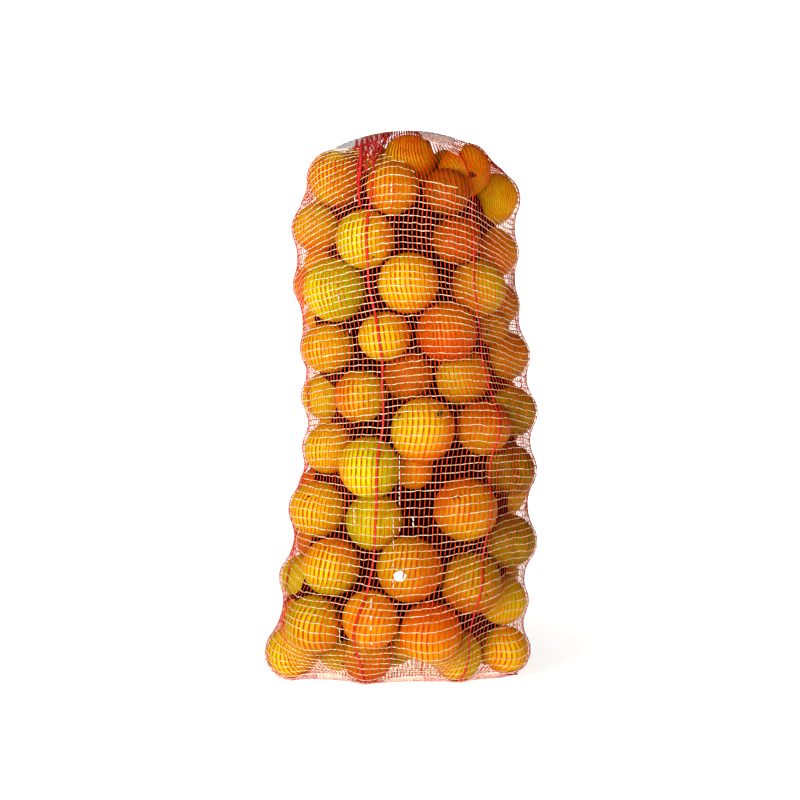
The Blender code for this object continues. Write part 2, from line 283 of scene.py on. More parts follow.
def loose_net(fine):
    """The blown-up tube outside the fruit, its middle sheet, and which points are held."""
    angle = 2.0 * math.pi * np.arange(COLUMNS * fine) / (COLUMNS * fine)
    floor = np.arange(FLOOR_ROWS * fine) / (FLOOR_ROWS * fine)
    foot = 0.5 * math.pi * np.arange(FOOT_ROWS * fine) / (FOOT_ROWS * fine)
    side = np.arange(SIDE_ROWS * fine) / (SIDE_ROWS * fine)
    head = 0.5 * math.pi * np.arange(HEAD_ROWS * fine + 1)[:, None] / (HEAD_ROWS * fine)

    height = np.concatenate([0.0 * floor, FOOT_TOP * (1.0 - np.cos(foot)),
                             FOOT_TOP + (HEAD_BOTTOM - FOOT_TOP) * side])
    spread = np.concatenate([FLOOR_SPREAD + 0.0 * floor,
                             FLOOR_SPREAD + (1.0 - FLOOR_SPREAD) * np.sin(foot),
                             1.0 + 0.0 * side])
    deep = np.concatenate([FLOOR_DEPTH * floor,
                           FLOOR_DEPTH + (1.0 - FLOOR_DEPTH) * np.sin(foot),
                           1.0 + 0.0 * side])
    middle, half_width, half_depth = outline(height)
    across = middle[:, None] + (half_width * spread)[:, None] * np.cos(angle)
    depth = (half_depth * deep)[:, None] * np.sin(angle)
    height = np.repeat(height[:, None], len(angle), axis=1)

    middle, half_width, half_depth = outline(HEAD_BOTTOM)
    mouth = MOUTH_MIDDLE + MOUTH_HALF_WIDTH * np.cos(angle)
    wall = middle + half_width * np.cos(angle)
    head_across = mouth + (wall - mouth) * np.cos(head)
    head_depth = half_depth * np.sin(angle) * np.cos(head)
    head_height = HEAD_BOTTOM + (mouth_height(mouth) - HEAD_BOTTOM) * np.sin(head)

    outer = np.stack([np.vstack([across, head_across]), np.vstack([depth, head_depth]),
                      np.vstack([height, head_height])], axis=2)
    centre = outline(outer[:, :, 2])[0]
    inner = np.stack([centre + MIDDLE_SPREAD * (outer[:, :, 0] - centre),
                      np.zeros(outer.shape[:2]),
                      np.clip(outer[:, :, 2], MIDDLE_BOTTOM, MIDDLE_TOP)], axis=2)
    held = np.zeros(outer.shape[:2], bool)
    held[:FLOOR_ROWS * fine] = True
    held[-1] = np.abs(np.cos(angle)) < MOUTH_HELD
    return outer, inner, held


def fruit_reach(start, way):
    """How far along each ray the fruit, with the net's thickness on it, reaches."""
    reach = np.zeros(start.shape[:2])
    for centre, radius in zip(fruit_centres, fruit_radii):
        offset = start - centre
        along = (offset * way).sum(axis=2)
        room = along ** 2 - (offset ** 2).sum(axis=2) + (radius + NET_GAUGE) ** 2
        hit = np.where(room > 0.0, -along + np.sqrt(np.maximum(room, 0.0)), 0.0)
        reach = np.maximum(reach, hit)
    return reach


def tight_net(fine, steps, coarse=None):
    """Pull the loose net in along its rays until the fruit stops it."""
    outer, inner, held = loose_net(fine)
    way = outer - inner
    length = np.linalg.norm(way, axis=2)
    way = way / length[:, :, None]
    stop = fruit_reach(inner, way)
    start = length if coarse is None else twice_as_fine(coarse)
    reach = np.where(held, length, np.maximum(start, stop))
    back = (-np.arange(reach.shape[1])) % reach.shape[1]
    pull_in = PULL_IN / fine ** 2
    for _ in range(steps):
        points = inner + way * reach[:, :, None]
        points[:, :, 2] = np.maximum(points[:, :, 2], 0.0)
        sides = 0.5 * (np.roll(points, 1, axis=1) + np.roll(points, -1, axis=1))
        below = np.vstack([points[1:2, back], points[:-1]])
        above = np.vstack([points[1:], points[-2:-1, back]])
        ends = 0.5 * (below + above)
        aim = (PULL_ROUND * sides + PULL_UP * ends) / (PULL_ROUND + PULL_UP)
        slack = np.clip((SLACK_NONE - points[:, :, 2]) / (SLACK_NONE - SLACK_TO), 0.0, 1.0)
        step = ((aim - points) * way).sum(axis=2) - pull_in * slack
        reach = np.where(held, reach, np.maximum(reach + PULL_PACE * step, stop))
    points = inner + way * reach[:, :, None]
    points[:, :, 2] = np.maximum(points[:, :, 2], 0.0)
    return points, reach


def twice_as_fine(grid):
    """Values of a grid that closes round the sack, with one more between each two."""
    rows = np.empty((2 * grid.shape[0] - 1, grid.shape[1]))
    rows[::2] = grid
    rows[1::2] = 0.5 * (grid[:-1] + grid[1:])
    both = np.empty((rows.shape[0], 2 * rows.shape[1]))
    both[:, ::2] = rows
    both[:, 1::2] = 0.5 * (rows + np.roll(rows, -1, axis=1))
    return both


_, coarse_reach = tight_net(1, COARSE_STEPS)
film, _ = tight_net(2, FINE_STEPS, coarse_reach)
film = film - SACK_MIDDLE
fruit_centres = fruit_centres - SACK_MIDDLE
print("film points:", film.shape[:2], "height in mm:", round(film[:, :, 2].max() / MM, 1))

# %% [markdown]
# ## The last gaps
# Packing by pushing apart leaves a few pockets, and at the sides of the sack they would
# show daylight. A picker at the packing house fills them with one more fruit, and so does
# this cell: of all the places where a ball still fits under the film, it takes the one
# that hides most of the open sight lines, and repeats until none is worth a fruit.

# %% Fill the last gaps
FILLERS = 18
FILLER_SMALLEST = 20.0 * MM
FILLER_LARGEST = 35.0 * MM
FILLER_SQUEEZE = 10.0 * MM
FILLER_CLEAR = 2.0 * MM
# where a filler may sit: from, to and step in metres, across, in depth and up
FILLER_GRID = ((-0.14, 0.15, 0.005), (-0.030, 0.085, 0.008), (0.03, 0.60, 0.005))
SIDE_FROM = 0.060
CELL = 4.0 * MM
CELLS_FROM = 20.0 * MM
CELLS_TO = 630.0 * MM
EDGE_BAND = 5.0 * MM
FILLER_WORTH = 5
EYE_AWAY = 2.0
EYE_HEIGHT = 0.452


def seen(points):
    """Where each point appears, seen from the front, on the sack's middle plane."""
    share = EYE_AWAY / (EYE_AWAY + points[..., 1])
    height = EYE_HEIGHT + (points[..., 2] - EYE_HEIGHT) * share
    return np.stack([points[..., 0] * share, height], axis=-1)


def open_cells():
    """Cells at the sides of the sack, inside the net, that no fruit covers."""
    edge = seen(film)
    cells = []
    for height in np.arange(CELLS_FROM, CELLS_TO, CELL):
        near = np.abs(edge[..., 1] - height) < EDGE_BAND
        if not near.any():
            continue
        left, right = edge[..., 0][near].min(), edge[..., 0][near].max()
        middle = 0.5 * (left + right)
        for across in np.arange(left + 1.5 * CELL, right - CELL, CELL):
            if abs(across - middle) > SIDE_FROM:
                cells.append((across, height))
    return np.array(cells)


def covered(cells, centres, radii):
    """For each cell and each fruit, whether the fruit hides the cell."""
    gap = cells[:, None] - seen(centres)[None]
    return (gap ** 2).sum(axis=2) < (radii * EYE_AWAY / (EYE_AWAY + centres[:, 1])) ** 2


def room_inside_film(spots):
    """Distance from each spot out to the film, or zero for a spot outside it."""
    wall = KDTree(film.shape[0] * film.shape[1])
    for index, spot in enumerate(film.reshape(-1, 3)):
        wall.insert(spot, index)
    wall.balance()
    nearest = [wall.find(spot) for spot in spots]
    spot_on_film = np.array([found[0][:] for found in nearest])
    distance = np.array([found[2] for found in nearest])
    middle = outline(spots[:, 2])[0] - SACK_MIDDLE[0]
    outward = spot_on_film[:, :2] - np.column_stack([middle, 0.0 * middle])
    inside = (outward * (spot_on_film - spots)[:, :2]).sum(axis=1) > 0.0
    return np.where(inside, distance - FILLER_CLEAR, 0.0)


def fillers():
    """Centres and radii of the fruit that close the open sight lines."""
    cells = open_cells()
    cells = cells[~covered(cells, fruit_centres, fruit_radii).any(axis=1)]
    places = [np.arange(*stretch) for stretch in FILLER_GRID]
    grid = np.stack(np.meshgrid(*places, indexing="ij"), axis=-1).reshape(-1, 3)
    near = np.linalg.norm(grid[:, None] - fruit_centres[None], axis=2) - fruit_radii
    room = np.minimum(near.min(axis=1) + FILLER_SQUEEZE, FILLER_LARGEST)
    grid, room = grid[room > FILLER_SMALLEST], room[room > FILLER_SMALLEST]
    room = np.minimum(room, room_inside_film(grid))
    centres, radii = [], []
    for _ in range(FILLERS):
        grid, room = grid[room > FILLER_SMALLEST], room[room > FILLER_SMALLEST]
        worth = covered(cells, grid, room).sum(axis=0)
        best = int(worth.argmax())
        if worth[best] < FILLER_WORTH:
            break
        centres.append(grid[best])
        radii.append(room[best])
        cells = cells[~covered(cells, grid[best:best + 1], room[best:best + 1])[:, 0]]
        gap = np.linalg.norm(grid - grid[best], axis=1) - room[best]
        room = np.minimum(room, gap + FILLER_SQUEEZE)
    return np.array(centres), np.array(radii), len(cells)


extra_centres, extra_radii, still_open = fillers()
fruit_centres = np.vstack([fruit_centres, extra_centres])
fruit_radii = np.concatenate([fruit_radii, extra_radii])
fruit_count = len(fruit_radii)
print("fillers:", len(extra_radii), "open cells left:", still_open, "fruit in all:", fruit_count)

# %% [markdown]
# ## Where the threads run
# The net was knitted as an even grid, so along each red tape the cream threads sit at
# equal lengths of tape, not at equal heights. Over a bulge more tape is used up, and the
# cross threads bend there. They also slip off the bulges and crowd in the hollows. Both
# are worked out on the film: equal lengths first, then a slide towards the hollows, and
# last a few soft tugs where the sack was handled.

# %% Lay out the crossings
WARPS = 144
WEFTS = 88
WEFT_UNEVEN = 0.16
PITCH_AT_FOOT = 1.22
PITCH_AT_HEAD = 0.82
WEFT_TURNS = 6
WARP_TURNS = 12
TAUT = 0.85
TAUT_TURNS = 220
TAUT_FROM = 0.05
TAUT_TO = 0.605
TAUT_BLEND = 0.04
RUN_LENGTH = 7
TOP_THREAD = 0.617
# the cross threads end lower on the right of the mouth than on the left
THREADS_END_AT = (-0.090, -0.052, -0.030, 0.000, 0.020, 0.060, 0.100)
THREADS_END_HIGH = (0.632, 0.630, 0.622, 0.612, 0.592, 0.582, 0.548)
FILM_ROWS, FILM_COLUMNS = film.shape[:2]
STEP_ROUND = FILM_COLUMNS / WARPS
net_rng = np.random.default_rng(21)


def curve_weights(f):
    """Catmull-Rom weights of the four values around a fraction."""
    return (0.5 * (-f + 2 * f ** 2 - f ** 3), 0.5 * (2 - 5 * f ** 2 + 3 * f ** 3),
            0.5 * (f + 4 * f ** 2 - 3 * f ** 3), 0.5 * (-f ** 2 + f ** 3))


def on_film(grid, row, column):
    """Values of a grid on the film at fractional rows and columns, by smooth curves."""
    row, column = np.broadcast_arrays(row, column)
    row = np.clip(row, 0.0, FILM_ROWS - 1.001)
    first_row = np.floor(row).astype(int)
    first_column = np.floor(column).astype(int)
    row_part = (row - first_row)[..., None]
    column_part = (column - first_column)[..., None]
    value = 0.0
    for i, row_weight in enumerate(curve_weights(row_part)):
        near_row = np.clip(first_row + i - 1, 0, FILM_ROWS - 1)
        for j, column_weight in enumerate(curve_weights(column_part)):
            near_column = (first_column + j - 1) % FILM_COLUMNS
            value = value + row_weight * column_weight * grid[near_row, near_column]
    return value


def steps_on(grid, row, column):
    """How much a grid's values change over one row and over one column, at the places."""
    up = on_film(grid, row + 0.5, column) - on_film(grid, row - 0.5, column)
    side = on_film(grid, row, column + 0.5) - on_film(grid, row, column - 0.5)
    return up, side


def step_sizes(row, column):
    """Lengths of one row and of one column of the film at the places, never near zero."""
    return [np.maximum(np.linalg.norm(step, axis=-1), MM)
            for step in steps_on(film, row, column)]


def round_and_over(grid):
    """The grid with one more row at each end, taken from the sheet's other side."""
    back = (-np.arange(FILM_COLUMNS)) % FILM_COLUMNS
    return np.vstack([grid[1:2, back], grid, grid[-2:-1, back]])


def film_normals():
    """Outward direction of the film at each of its points."""
    round_way = np.roll(film, -1, axis=1) - np.roll(film, 1, axis=1)
    padded = round_and_over(film)
    normal = np.cross(round_way, padded[2:] - padded[:-2])
    return normal / np.maximum(np.linalg.norm(normal, axis=2, keepdims=True), 1e-9)


def smoothed(values, axis, times):
    """Values averaged with their neighbours; round the sack they close up."""
    for _ in range(times):
        if axis == 1:
            near = 0.5 * (np.roll(values, 1, axis=1) + np.roll(values, -1, axis=1))
            values = 0.5 * (values + near)
        else:
            inside = 0.25 * values[:-2] + 0.5 * values[1:-1] + 0.25 * values[2:]
            values = np.vstack([values[:1], inside, values[-1:]])
    return values


def weft_rows():
    """For each cross thread and column of the film, the row where it crosses.

    Equal steps along the film, then drawn towards level rings where the net is taut.
    """
    steps = np.linalg.norm(np.diff(film, axis=0), axis=2)
    length = np.vstack([np.zeros((1, FILM_COLUMNS)), np.cumsum(steps, axis=0)])
    pitch = np.linspace(PITCH_AT_FOOT, PITCH_AT_HEAD, WEFTS + 1)
    pitch = pitch * (1.0 + WEFT_UNEVEN * net_rng.uniform(-1.0, 1.0, WEFTS + 1))
    share = np.cumsum(pitch)[:-1] / pitch.sum()
    rows = np.arange(FILM_ROWS)
    columns = range(FILM_COLUMNS)
    crossing = np.column_stack([np.interp(share * length[-1, k], length[:, k], rows)
                                for k in columns])
    crossing = smoothed(crossing, 1, WEFT_TURNS)
    height = np.column_stack([np.interp(crossing[:, k], rows, film[:, k, 2]) for k in columns])
    level = smoothed(height, 1, TAUT_TURNS)
    climb = np.maximum.accumulate(film[:, :, 2], axis=0) + 1e-7 * rows[:, None]
    taut = np.column_stack([np.interp(level[:, k], climb[:, k], rows) for k in columns])
    blend = (np.clip((level - TAUT_FROM) / TAUT_BLEND, 0.0, 1.0)
             * np.clip((TAUT_TO - level) / TAUT_BLEND, 0.0, 1.0))
    return crossing + TAUT * blend * (taut - crossing)


def warp_columns():
    """For each row of the film and each tape, the column where the tape runs."""
    steps = np.linalg.norm(np.roll(film, -1, axis=1) - film, axis=2)
    place = np.empty((FILM_ROWS, WARPS))
    half = FILM_COLUMNS // 2
    for row in range(FILM_ROWS):
        for side in (0, 1):
            step = steps[row, side * half:(side + 1) * half]
            length = np.concatenate([[0.0], np.cumsum(step)])
            at = length[-1] * np.arange(WARPS // 2) / (WARPS // 2)
            column = side * half + np.interp(at, length, np.arange(half + 1))
            place[row, side * WARPS // 2:(side + 1) * WARPS // 2] = column
    return smoothed(place, 0, WARP_TURNS)


def along_round(values, column):
    """Values given once for each column, read at a fractional column, row by row."""
    low = np.floor(column).astype(int)
    part = column - low
    thread = np.arange(values.shape[0])[:, None]
    return (values[thread, low % FILM_COLUMNS] * (1.0 - part)
            + values[thread, (low + 1) % FILM_COLUMNS] * part)


def along_up(values, row):
    """Values given once for each row, read at a fractional row, tape by tape."""
    low = np.clip(np.floor(row).astype(int), 0, FILM_ROWS - 2)
    part = row - low
    tape = np.arange(values.shape[1])[None, :]
    return values[low, tape] * (1.0 - part) + values[low + 1, tape] * part


normals = film_normals()
even_column = STEP_ROUND * np.arange(WARPS)[None, :]
weft_row = weft_rows()
every_column = even_column + np.zeros((WEFTS, 1))
crossing_column = along_up(warp_columns(), along_round(weft_row, every_column))
crossing_row = along_round(weft_row, crossing_column)
print("tapes:", WARPS, "cross threads:", WEFTS)

# %% Slide the crossings
BUNCH = 0.8
BUNCH_MOST = 0.45
SLIDES = 3
GAP_TURNS = 8
TUG_DEPTH = 0.05
ENDS_KEPT = 0.3

# across, height and reach in metres, then the pull up and across in metres
TUGS = (
    (-0.040, 0.610, 0.050, 0.007, 0.000),
    (-0.015, 0.150, 0.090, -0.012, 0.000),
    (0.120, 0.120, 0.050, 0.006, -0.004),
    (-0.020, 0.400, 0.050, -0.004, 0.010),
    (0.085, 0.330, 0.070, 0.003, 0.008),
    (-0.050, 0.300, 0.040, 0.003, -0.004),
)
# across, height and reach in metres, then the share drawn in up and across
PINCHES = (
    (-0.130, 0.090, 0.032, 0.45, 0.20),
    (-0.115, 0.020, 0.040, 0.40, 0.10),
    (0.000, 0.640, 0.045, 0.00, 0.35),
    (0.090, 0.418, 0.030, 0.30, 0.00),
)


def hollow_field():
    """How hollow the film is at each point, smoothed to the size of a gap in the fruit."""
    padded = round_and_over(film)
    near = 0.25 * (np.roll(film, 1, axis=1) + np.roll(film, -1, axis=1)
                   + padded[2:] + padded[:-2])
    hollow = ((near - film) * normals).sum(axis=2) / MM
    return smoothed(smoothed(hollow, 1, GAP_TURNS), 0, GAP_TURNS)[:, :, None]


def slid_to_hollows(row, column):
    """Threads slip off the bulges: the crossings move up the slope of the hollow field."""
    hollow = hollow_field()
    for _ in range(SLIDES):
        up, side = steps_on(hollow, row, column)
        column = column + BUNCH * np.clip(side[..., 0], -BUNCH_MOST, BUNCH_MOST)
        row = row + BUNCH * np.clip(up[..., 0], -BUNCH_MOST, BUNCH_MOST)
    shift = smoothed(smoothed(column - even_column, 1, 2), 0, 2)
    return smoothed(smoothed(row, 1, 2), 0, 1), even_column + shift


def tugged(row, column):
    """The crossings after a few soft pulls by hand on the front of the sack."""
    place = on_film(film, row, column)
    row_size, column_size = step_sizes(row, column)
    front = np.clip(-place[..., 1] / TUG_DEPTH, 0.0, 1.0)
    for across, height, reach, up, side in TUGS:
        far = ((place[..., 0] - across) ** 2 + (place[..., 2] - height) ** 2) / reach ** 2
        strength = np.exp(-far) * front
        row = row + strength * up / row_size
        column = column + strength * side / column_size
    for across, height, reach, up_share, side_share in PINCHES:
        aside = place[..., 0] - across
        above = place[..., 2] - height
        strength = np.exp(-(aside ** 2 + above ** 2) / reach ** 2) * front
        row = row - strength * up_share * above / row_size
        column = column - strength * side_share * aside / column_size
    return row, column


crossing_row, crossing_column = tugged(*slid_to_hollows(crossing_row, crossing_column))
crossing_row = np.clip(crossing_row, ENDS_KEPT, FILM_ROWS - 1 - ENDS_KEPT)
crossing_row = np.sort(crossing_row, axis=0)
crossing_spot = on_film(film, crossing_row, crossing_column)
is_woven = crossing_spot[:, FILM_COLUMNS * 3 // 4, 2] < TOP_THREAD
pitch = np.linalg.norm(np.diff(crossing_spot, axis=0), axis=2) / MM
print("cross threads below the mouth:", int(is_woven.sum()))
print("cross thread pitch in mm: mean", round(float(pitch.mean()), 1),
      "from", round(float(pitch.min()), 1), "to", round(float(pitch.max()), 1))

# %% [markdown]
# ## Small helpers
# The net, the fruit and the trimmings are many pieces that begin and end alike: loops of
# points are joined by faces, the mesh goes on an object, and a thin sheet gets a thickness.
# Those steps could be copied into every cell, but written once they stay the same for all.

# %% Helpers for meshes and objects


def in_scene(name, data, material=None):
    """An object with the mesh, lamp or camera and the material, in the scene."""
    made = bpy.data.objects.new(name, data)
    bpy.context.scene.collection.objects.link(made)
    if material:
        data.materials.append(material)
    return made


def smooth_mesh(name, shape):
    """The built shape as a smooth mesh; the shape is used up."""
    mesh = bpy.data.meshes.new(name)
    shape.to_mesh(mesh)
    shape.free()
    mesh.shade_smooth()
    return mesh


def thickened(made, thickness):
    """Give an open sheet its thickness, half to each side."""
    wall = made.modifiers.new("thickness", "SOLIDIFY")
    wall.thickness = thickness
    wall.offset = 0.0
    return made


def carry(mesh, **values):
    """Store values on the mesh's points; rows of three are stored as vectors."""
    for label, value in values.items():
        value = np.asarray(value, dtype=float)
        kind, key = ("FLOAT_VECTOR", "vector") if value.ndim > 1 else ("FLOAT", "value")
        mesh.attributes.new(label, kind, "POINT").data.foreach_set(key, value.reshape(-1))


def join_loops(shape, loops, closed=True):
    """Faces between each row of vertices and the next; closed rows go right round."""
    count = len(loops[0])
    for low, high in zip(loops, loops[1:]):
        for k in range(count if closed else count - 1):
            ahead = (k + 1) % count
            shape.faces.new((low[k], low[ahead], high[ahead], high[k]))


def cap_loops(shape, loops):
    """Close the two ends of a stack of loops."""
    shape.faces.new(loops[-1])
    shape.faces.new(loops[0][::-1])


def grid_faces(rows, columns):
    """Faces of a grid that closes round the sack, as numbers of its points."""
    index = np.arange(rows * columns).reshape(rows, columns)
    ahead = np.roll(index, -1, axis=1)
    return np.stack([index[:-1], ahead[:-1], ahead[1:], index[1:]], axis=2).reshape(-1, 4)


def circle(steps):
    """Evenly spaced angles once round."""
    return [2.0 * math.pi * k / steps for k in range(steps)]


print("helpers:", [made.__name__ for made in (in_scene, smooth_mesh, thickened, carry)])

# %% [markdown]
# ## From paths to tapes
# A thread is a path with a small section swept along it, and a sack has hundreds of them.
# A curve object each would be slow to make and heavy to keep. Geometry Nodes do it in one
# step: the paths go in as bare edges that carry two attributes, which way is outward and
# how wide the thread is there, and the tree turns them into curves, turns each curve's
# normal outward, and sweeps a flat diamond along it. Smooth shading makes the diamond read
# as a soft, rounded tape.

# %% Tree that sweeps a flat section along paths


def new_tree(name, inputs):
    """A geometry node tree with a geometry input and output and the named inputs."""
    tree = bpy.data.node_groups.new(name, "GeometryNodeTree")
    tree.interface.new_socket("Geometry", in_out="INPUT", socket_type="NodeSocketGeometry")
    for label, kind in inputs:
        tree.interface.new_socket(label, in_out="INPUT", socket_type=kind)
    tree.interface.new_socket("Geometry", in_out="OUTPUT", socket_type="NodeSocketGeometry")
    return tree, tree.nodes.new("NodeGroupInput"), tree.nodes.new("NodeGroupOutput")


def node(tree, kind, links=(), **settings):
    """Add a node, set its properties, and link or set its inputs, given by name."""
    made = tree.nodes.new(kind)
    for key, value in settings.items():
        setattr(made, key, value)
    for label, value in dict(links).items():
        socket = made.inputs[label]
        if isinstance(value, bpy.types.NodeSocket):
            tree.links.new(value, socket)
        else:
            socket.default_value = value
    return made


def built(name, source, tree, **values):
    """Run a tree on an object and keep the result as a plain mesh object."""
    modifier = source.modifiers.new("build", "NODES")
    modifier.node_group = tree
    for item in tree.interface.items_tree:
        if item.in_out == "INPUT" and item.name in values:
            modifier[item.identifier] = values[item.name]
    graph = bpy.context.evaluated_depsgraph_get()
    mesh = bpy.data.meshes.new_from_object(source.evaluated_get(graph), depsgraph=graph)
    source.modifiers.remove(modifier)
    bpy.data.objects.remove(source, do_unlink=True)
    mesh.calc_loop_triangles()
    print(name, "triangles:", len(mesh.loop_triangles))
    return in_scene(name, mesh)


def arithmetic(tree, operation, first, second):
    """One Math node."""
    return node(tree, "ShaderNodeMath", {0: first, 1: second}, operation=operation).outputs[0]


def carried(tree, name, kind="FLOAT_VECTOR"):
    """A value that the points carry, by its name."""
    made = node(tree, "GeometryNodeInputNamedAttribute", {"Name": name}, data_type=kind)
    return made.outputs[0]


def finish_tree(tree, start, end, geometry):
    """Shade the geometry smooth, make it real, and set the material that came in."""
    smooth = node(tree, "GeometryNodeSetShadeSmooth", {"Geometry": geometry})
    real = node(tree, "GeometryNodeRealizeInstances", {"Geometry": smooth.outputs[0]})
    painted = node(tree, "GeometryNodeSetMaterial",
                   {"Geometry": real.outputs[0], "Material": start.outputs["Material"]})
    tree.links.new(painted.outputs[0], end.inputs["Geometry"])
    return tree


def set_on_points(tree, start, label):
    """The object that came in, set at every point with the turn and size there."""
    one = node(tree, "GeometryNodeObjectInfo", {"Object": start.outputs[label]})
    turn = node(tree, "FunctionNodeEulerToRotation", {"Euler": carried(tree, "turn")})
    placed = node(tree, "GeometryNodeInstanceOnPoints",
                  {"Points": start.outputs["Geometry"], "Instance": one.outputs["Geometry"],
                   "Rotation": turn.outputs[0], "Scale": carried(tree, "size")})
    return placed.outputs[0]


def thread_tree():
    """Sweeps a flat diamond along every path of edges."""
    tree, start, end = new_tree("threads_on_paths", (
        ("Width", "NodeSocketFloat"), ("Thickness", "NodeSocketFloat"),
        ("Material", "NodeSocketMaterial")))
    half = arithmetic(tree, "MULTIPLY", start.outputs["Width"], 0.5)
    section = node(tree, "GeometryNodeCurvePrimitiveQuadrilateral",
                   {"Width": start.outputs["Thickness"], "Bottom Height": half,
                    "Top Height": half}, mode="KITE")
    curves = node(tree, "GeometryNodeMeshToCurve", {"Mesh": start.outputs["Geometry"]})
    turned = node(tree, "GeometryNodeSetCurveNormal",
                  {"Curve": curves.outputs[0], "Normal": carried(tree, "outward")}, mode="FREE")
    swept = node(tree, "GeometryNodeCurveToMesh",
                 {"Curve": turned.outputs[0], "Profile Curve": section.outputs[0],
                  "Scale": carried(tree, "spread", "FLOAT"), "Fill Caps": True})
    return finish_tree(tree, start, end, swept.outputs[0])


def edges_object(name, points, edges, outward, spread):
    """Bare edges between points that carry the way outward and the width."""
    mesh = bpy.data.meshes.new(name)
    mesh.from_pydata(points.tolist(), edges.tolist(), [])
    carry(mesh, outward=outward, spread=spread)
    return in_scene(name, mesh)


def paths_object(name, points, outward, spread, closed, kept=None):
    """Bare edges along rows of points; only the kept points are joined."""
    lines, count = points.shape[:2]
    index = np.arange(lines * count).reshape(lines, count)
    pairs = np.stack([index, np.roll(index, -1, axis=1)], axis=2)
    if not closed:
        pairs = pairs[:, :-1]
    if kept is not None:
        pairs = pairs[kept & np.roll(kept, -1, axis=1)]
    return edges_object(name, points.reshape(-1, 3), pairs.reshape(-1, 2),
                        outward.reshape(-1, 3), spread.reshape(-1))


sweep = thread_tree()
print("tree nodes:", len(sweep.nodes))

# %% [markdown]
# ## The material of the tapes
# The red tapes are split from thin plastic film: glossy and streaked along their length.
# The cream threads are a duller twisted yarn. Both get their streaks from noise that is
# squeezed across the thread, in object coordinates, so no texture map is needed.

# %% Net materials
STREAKS_FROM = 0.35
STREAKS_TO = 0.65
STREAK_DEPTH = 0.2 * MM


def new_material(name, roughness, **sockets):
    """A Principled material; numbers that hold all over are set on its own sockets."""
    made = bpy.data.materials.new(name)
    made.use_nodes = True
    shader = made.node_tree.nodes["Principled BSDF"]
    shader.inputs["Roughness"].default_value = roughness
    for label, value in sockets.items():
        shader.inputs[label.replace("_", " ")].default_value = value
    return made, made.node_tree, shader


def ramp(tree, factor, stops):
    """A colour ramp with the given stops."""
    made = node(tree, "ShaderNodeValToRGB", {"Fac": factor})
    elements = made.color_ramp.elements
    while len(elements) < len(stops):
        elements.new(0.5)
    for element, (position, colour) in zip(elements, stops):
        element.position = position
        element.color = (*colour, 1.0)
    return made.outputs["Color"]


def noise(tree, place, scale, detail=2.0):
    """Soft noise at a place."""
    return node(tree, "ShaderNodeTexNoise",
                {"Vector": place, "Scale": scale, "Detail": detail}).outputs["Fac"]


def relief(tree, height, strength, depth, **below):
    """A bump of a height, on top of another bump if one is given."""
    return node(tree, "ShaderNodeBump", {"Height": height, "Strength": strength,
                                         "Distance": depth, **below}).outputs[0]


def streaked(name, dark, light, roughness, stretch, bump, **sockets):
    """Plastic with streaks: noise squeezed by stretch blends from dark to light."""
    made, tree, shader = new_material(name, roughness, **sockets)
    place = node(tree, "ShaderNodeTexCoord")
    squeezed = node(tree, "ShaderNodeMapping",
                    {"Vector": place.outputs["Object"], "Scale": stretch})
    streaks = noise(tree, squeezed.outputs[0], 1.0, 3.0)
    colour = ramp(tree, streaks, ((STREAKS_FROM, dark), (STREAKS_TO, light)))
    tree.links.new(colour, shader.inputs["Base Color"])
    tree.links.new(relief(tree, streaks, bump, STREAK_DEPTH), shader.inputs["Normal"])
    return made


red_tape = streaked("red_net_tape", (0.70, 0.040, 0.004), (0.88, 0.105, 0.010), 0.4,
                    (900.0, 900.0, 160.0), 0.5, Specular_IOR_Level=0.25)
rib_tape = streaked("red_rib_tape", (0.66, 0.022, 0.012), (0.82, 0.050, 0.030), 0.3,
                    (900.0, 900.0, 120.0), 0.5, Specular_IOR_Level=0.4)
cream_yarn = streaked("cream_net_yarn", (0.66, 0.43, 0.25), (1.00, 0.86, 0.66), 0.6,
                      (230.0, 230.0, 900.0), 0.6, Specular_IOR_Level=0.3)
hem_yarn = streaked("pink_hem_yarn", (0.82, 0.42, 0.34), (1.0, 0.86, 0.78), 0.55,
                    (300.0, 300.0, 1400.0), 0.6)
lace_red = streaked("lacing_red", (0.74, 0.012, 0.016), (0.92, 0.090, 0.080), 0.3,
                    (900.0, 900.0, 160.0), 0.5, Specular_IOR_Level=0.5)
stitch_yarn = streaked("magenta_stitch_yarn", (0.42, 0.006, 0.070), (0.68, 0.040, 0.150), 0.45,
                       (500.0, 500.0, 500.0), 0.5)
print("net materials:", [m.name for m in (red_tape, cream_yarn, hem_yarn, stitch_yarn)])

# %% [markdown]
# ## Tapes and cross threads
# At each crossing one thread lies over the other, and which is on top changes from
# crossing to crossing, as it does in a knitted net. The two are lifted and lowered by less
# than their own thickness, so they touch and never hang apart. Each tape is pinched at the
# crossings and opens between them. Every so often a tape is much wider: those are the
# strong ribs that carry the load.

# %% Knit the net
TAPE_WIDTH = 1.35 * MM
TAPE_THICKNESS = 0.55 * MM
YARN_WIDTH = 1.1 * MM
YARN_THICKNESS = 0.8 * MM
LIFT = 0.32 * MM
RIB_FIRST = 4
RIB_EVERY = 24
RIB_WIDTH = 2.6
BARE_LEFT = -0.092
BARE_RIGHT = -0.050
BARE_ABOVE = 0.608
PINCH = 0.62
OPEN = 1.12
BEAD = 1.15
BARE_FADE = 0.010
BARE_FADE_RIGHT = 0.006
BARE_DEPTH = 0.01
BARE_WIDTH = 0.15
OVER_SHARE = 0.38
TAPE_UNEVEN = 0.12
PLACE_UNEVEN = 0.10
YARN_SWAY = 0.08
FRUIT_CLEAR = 0.45 * MM


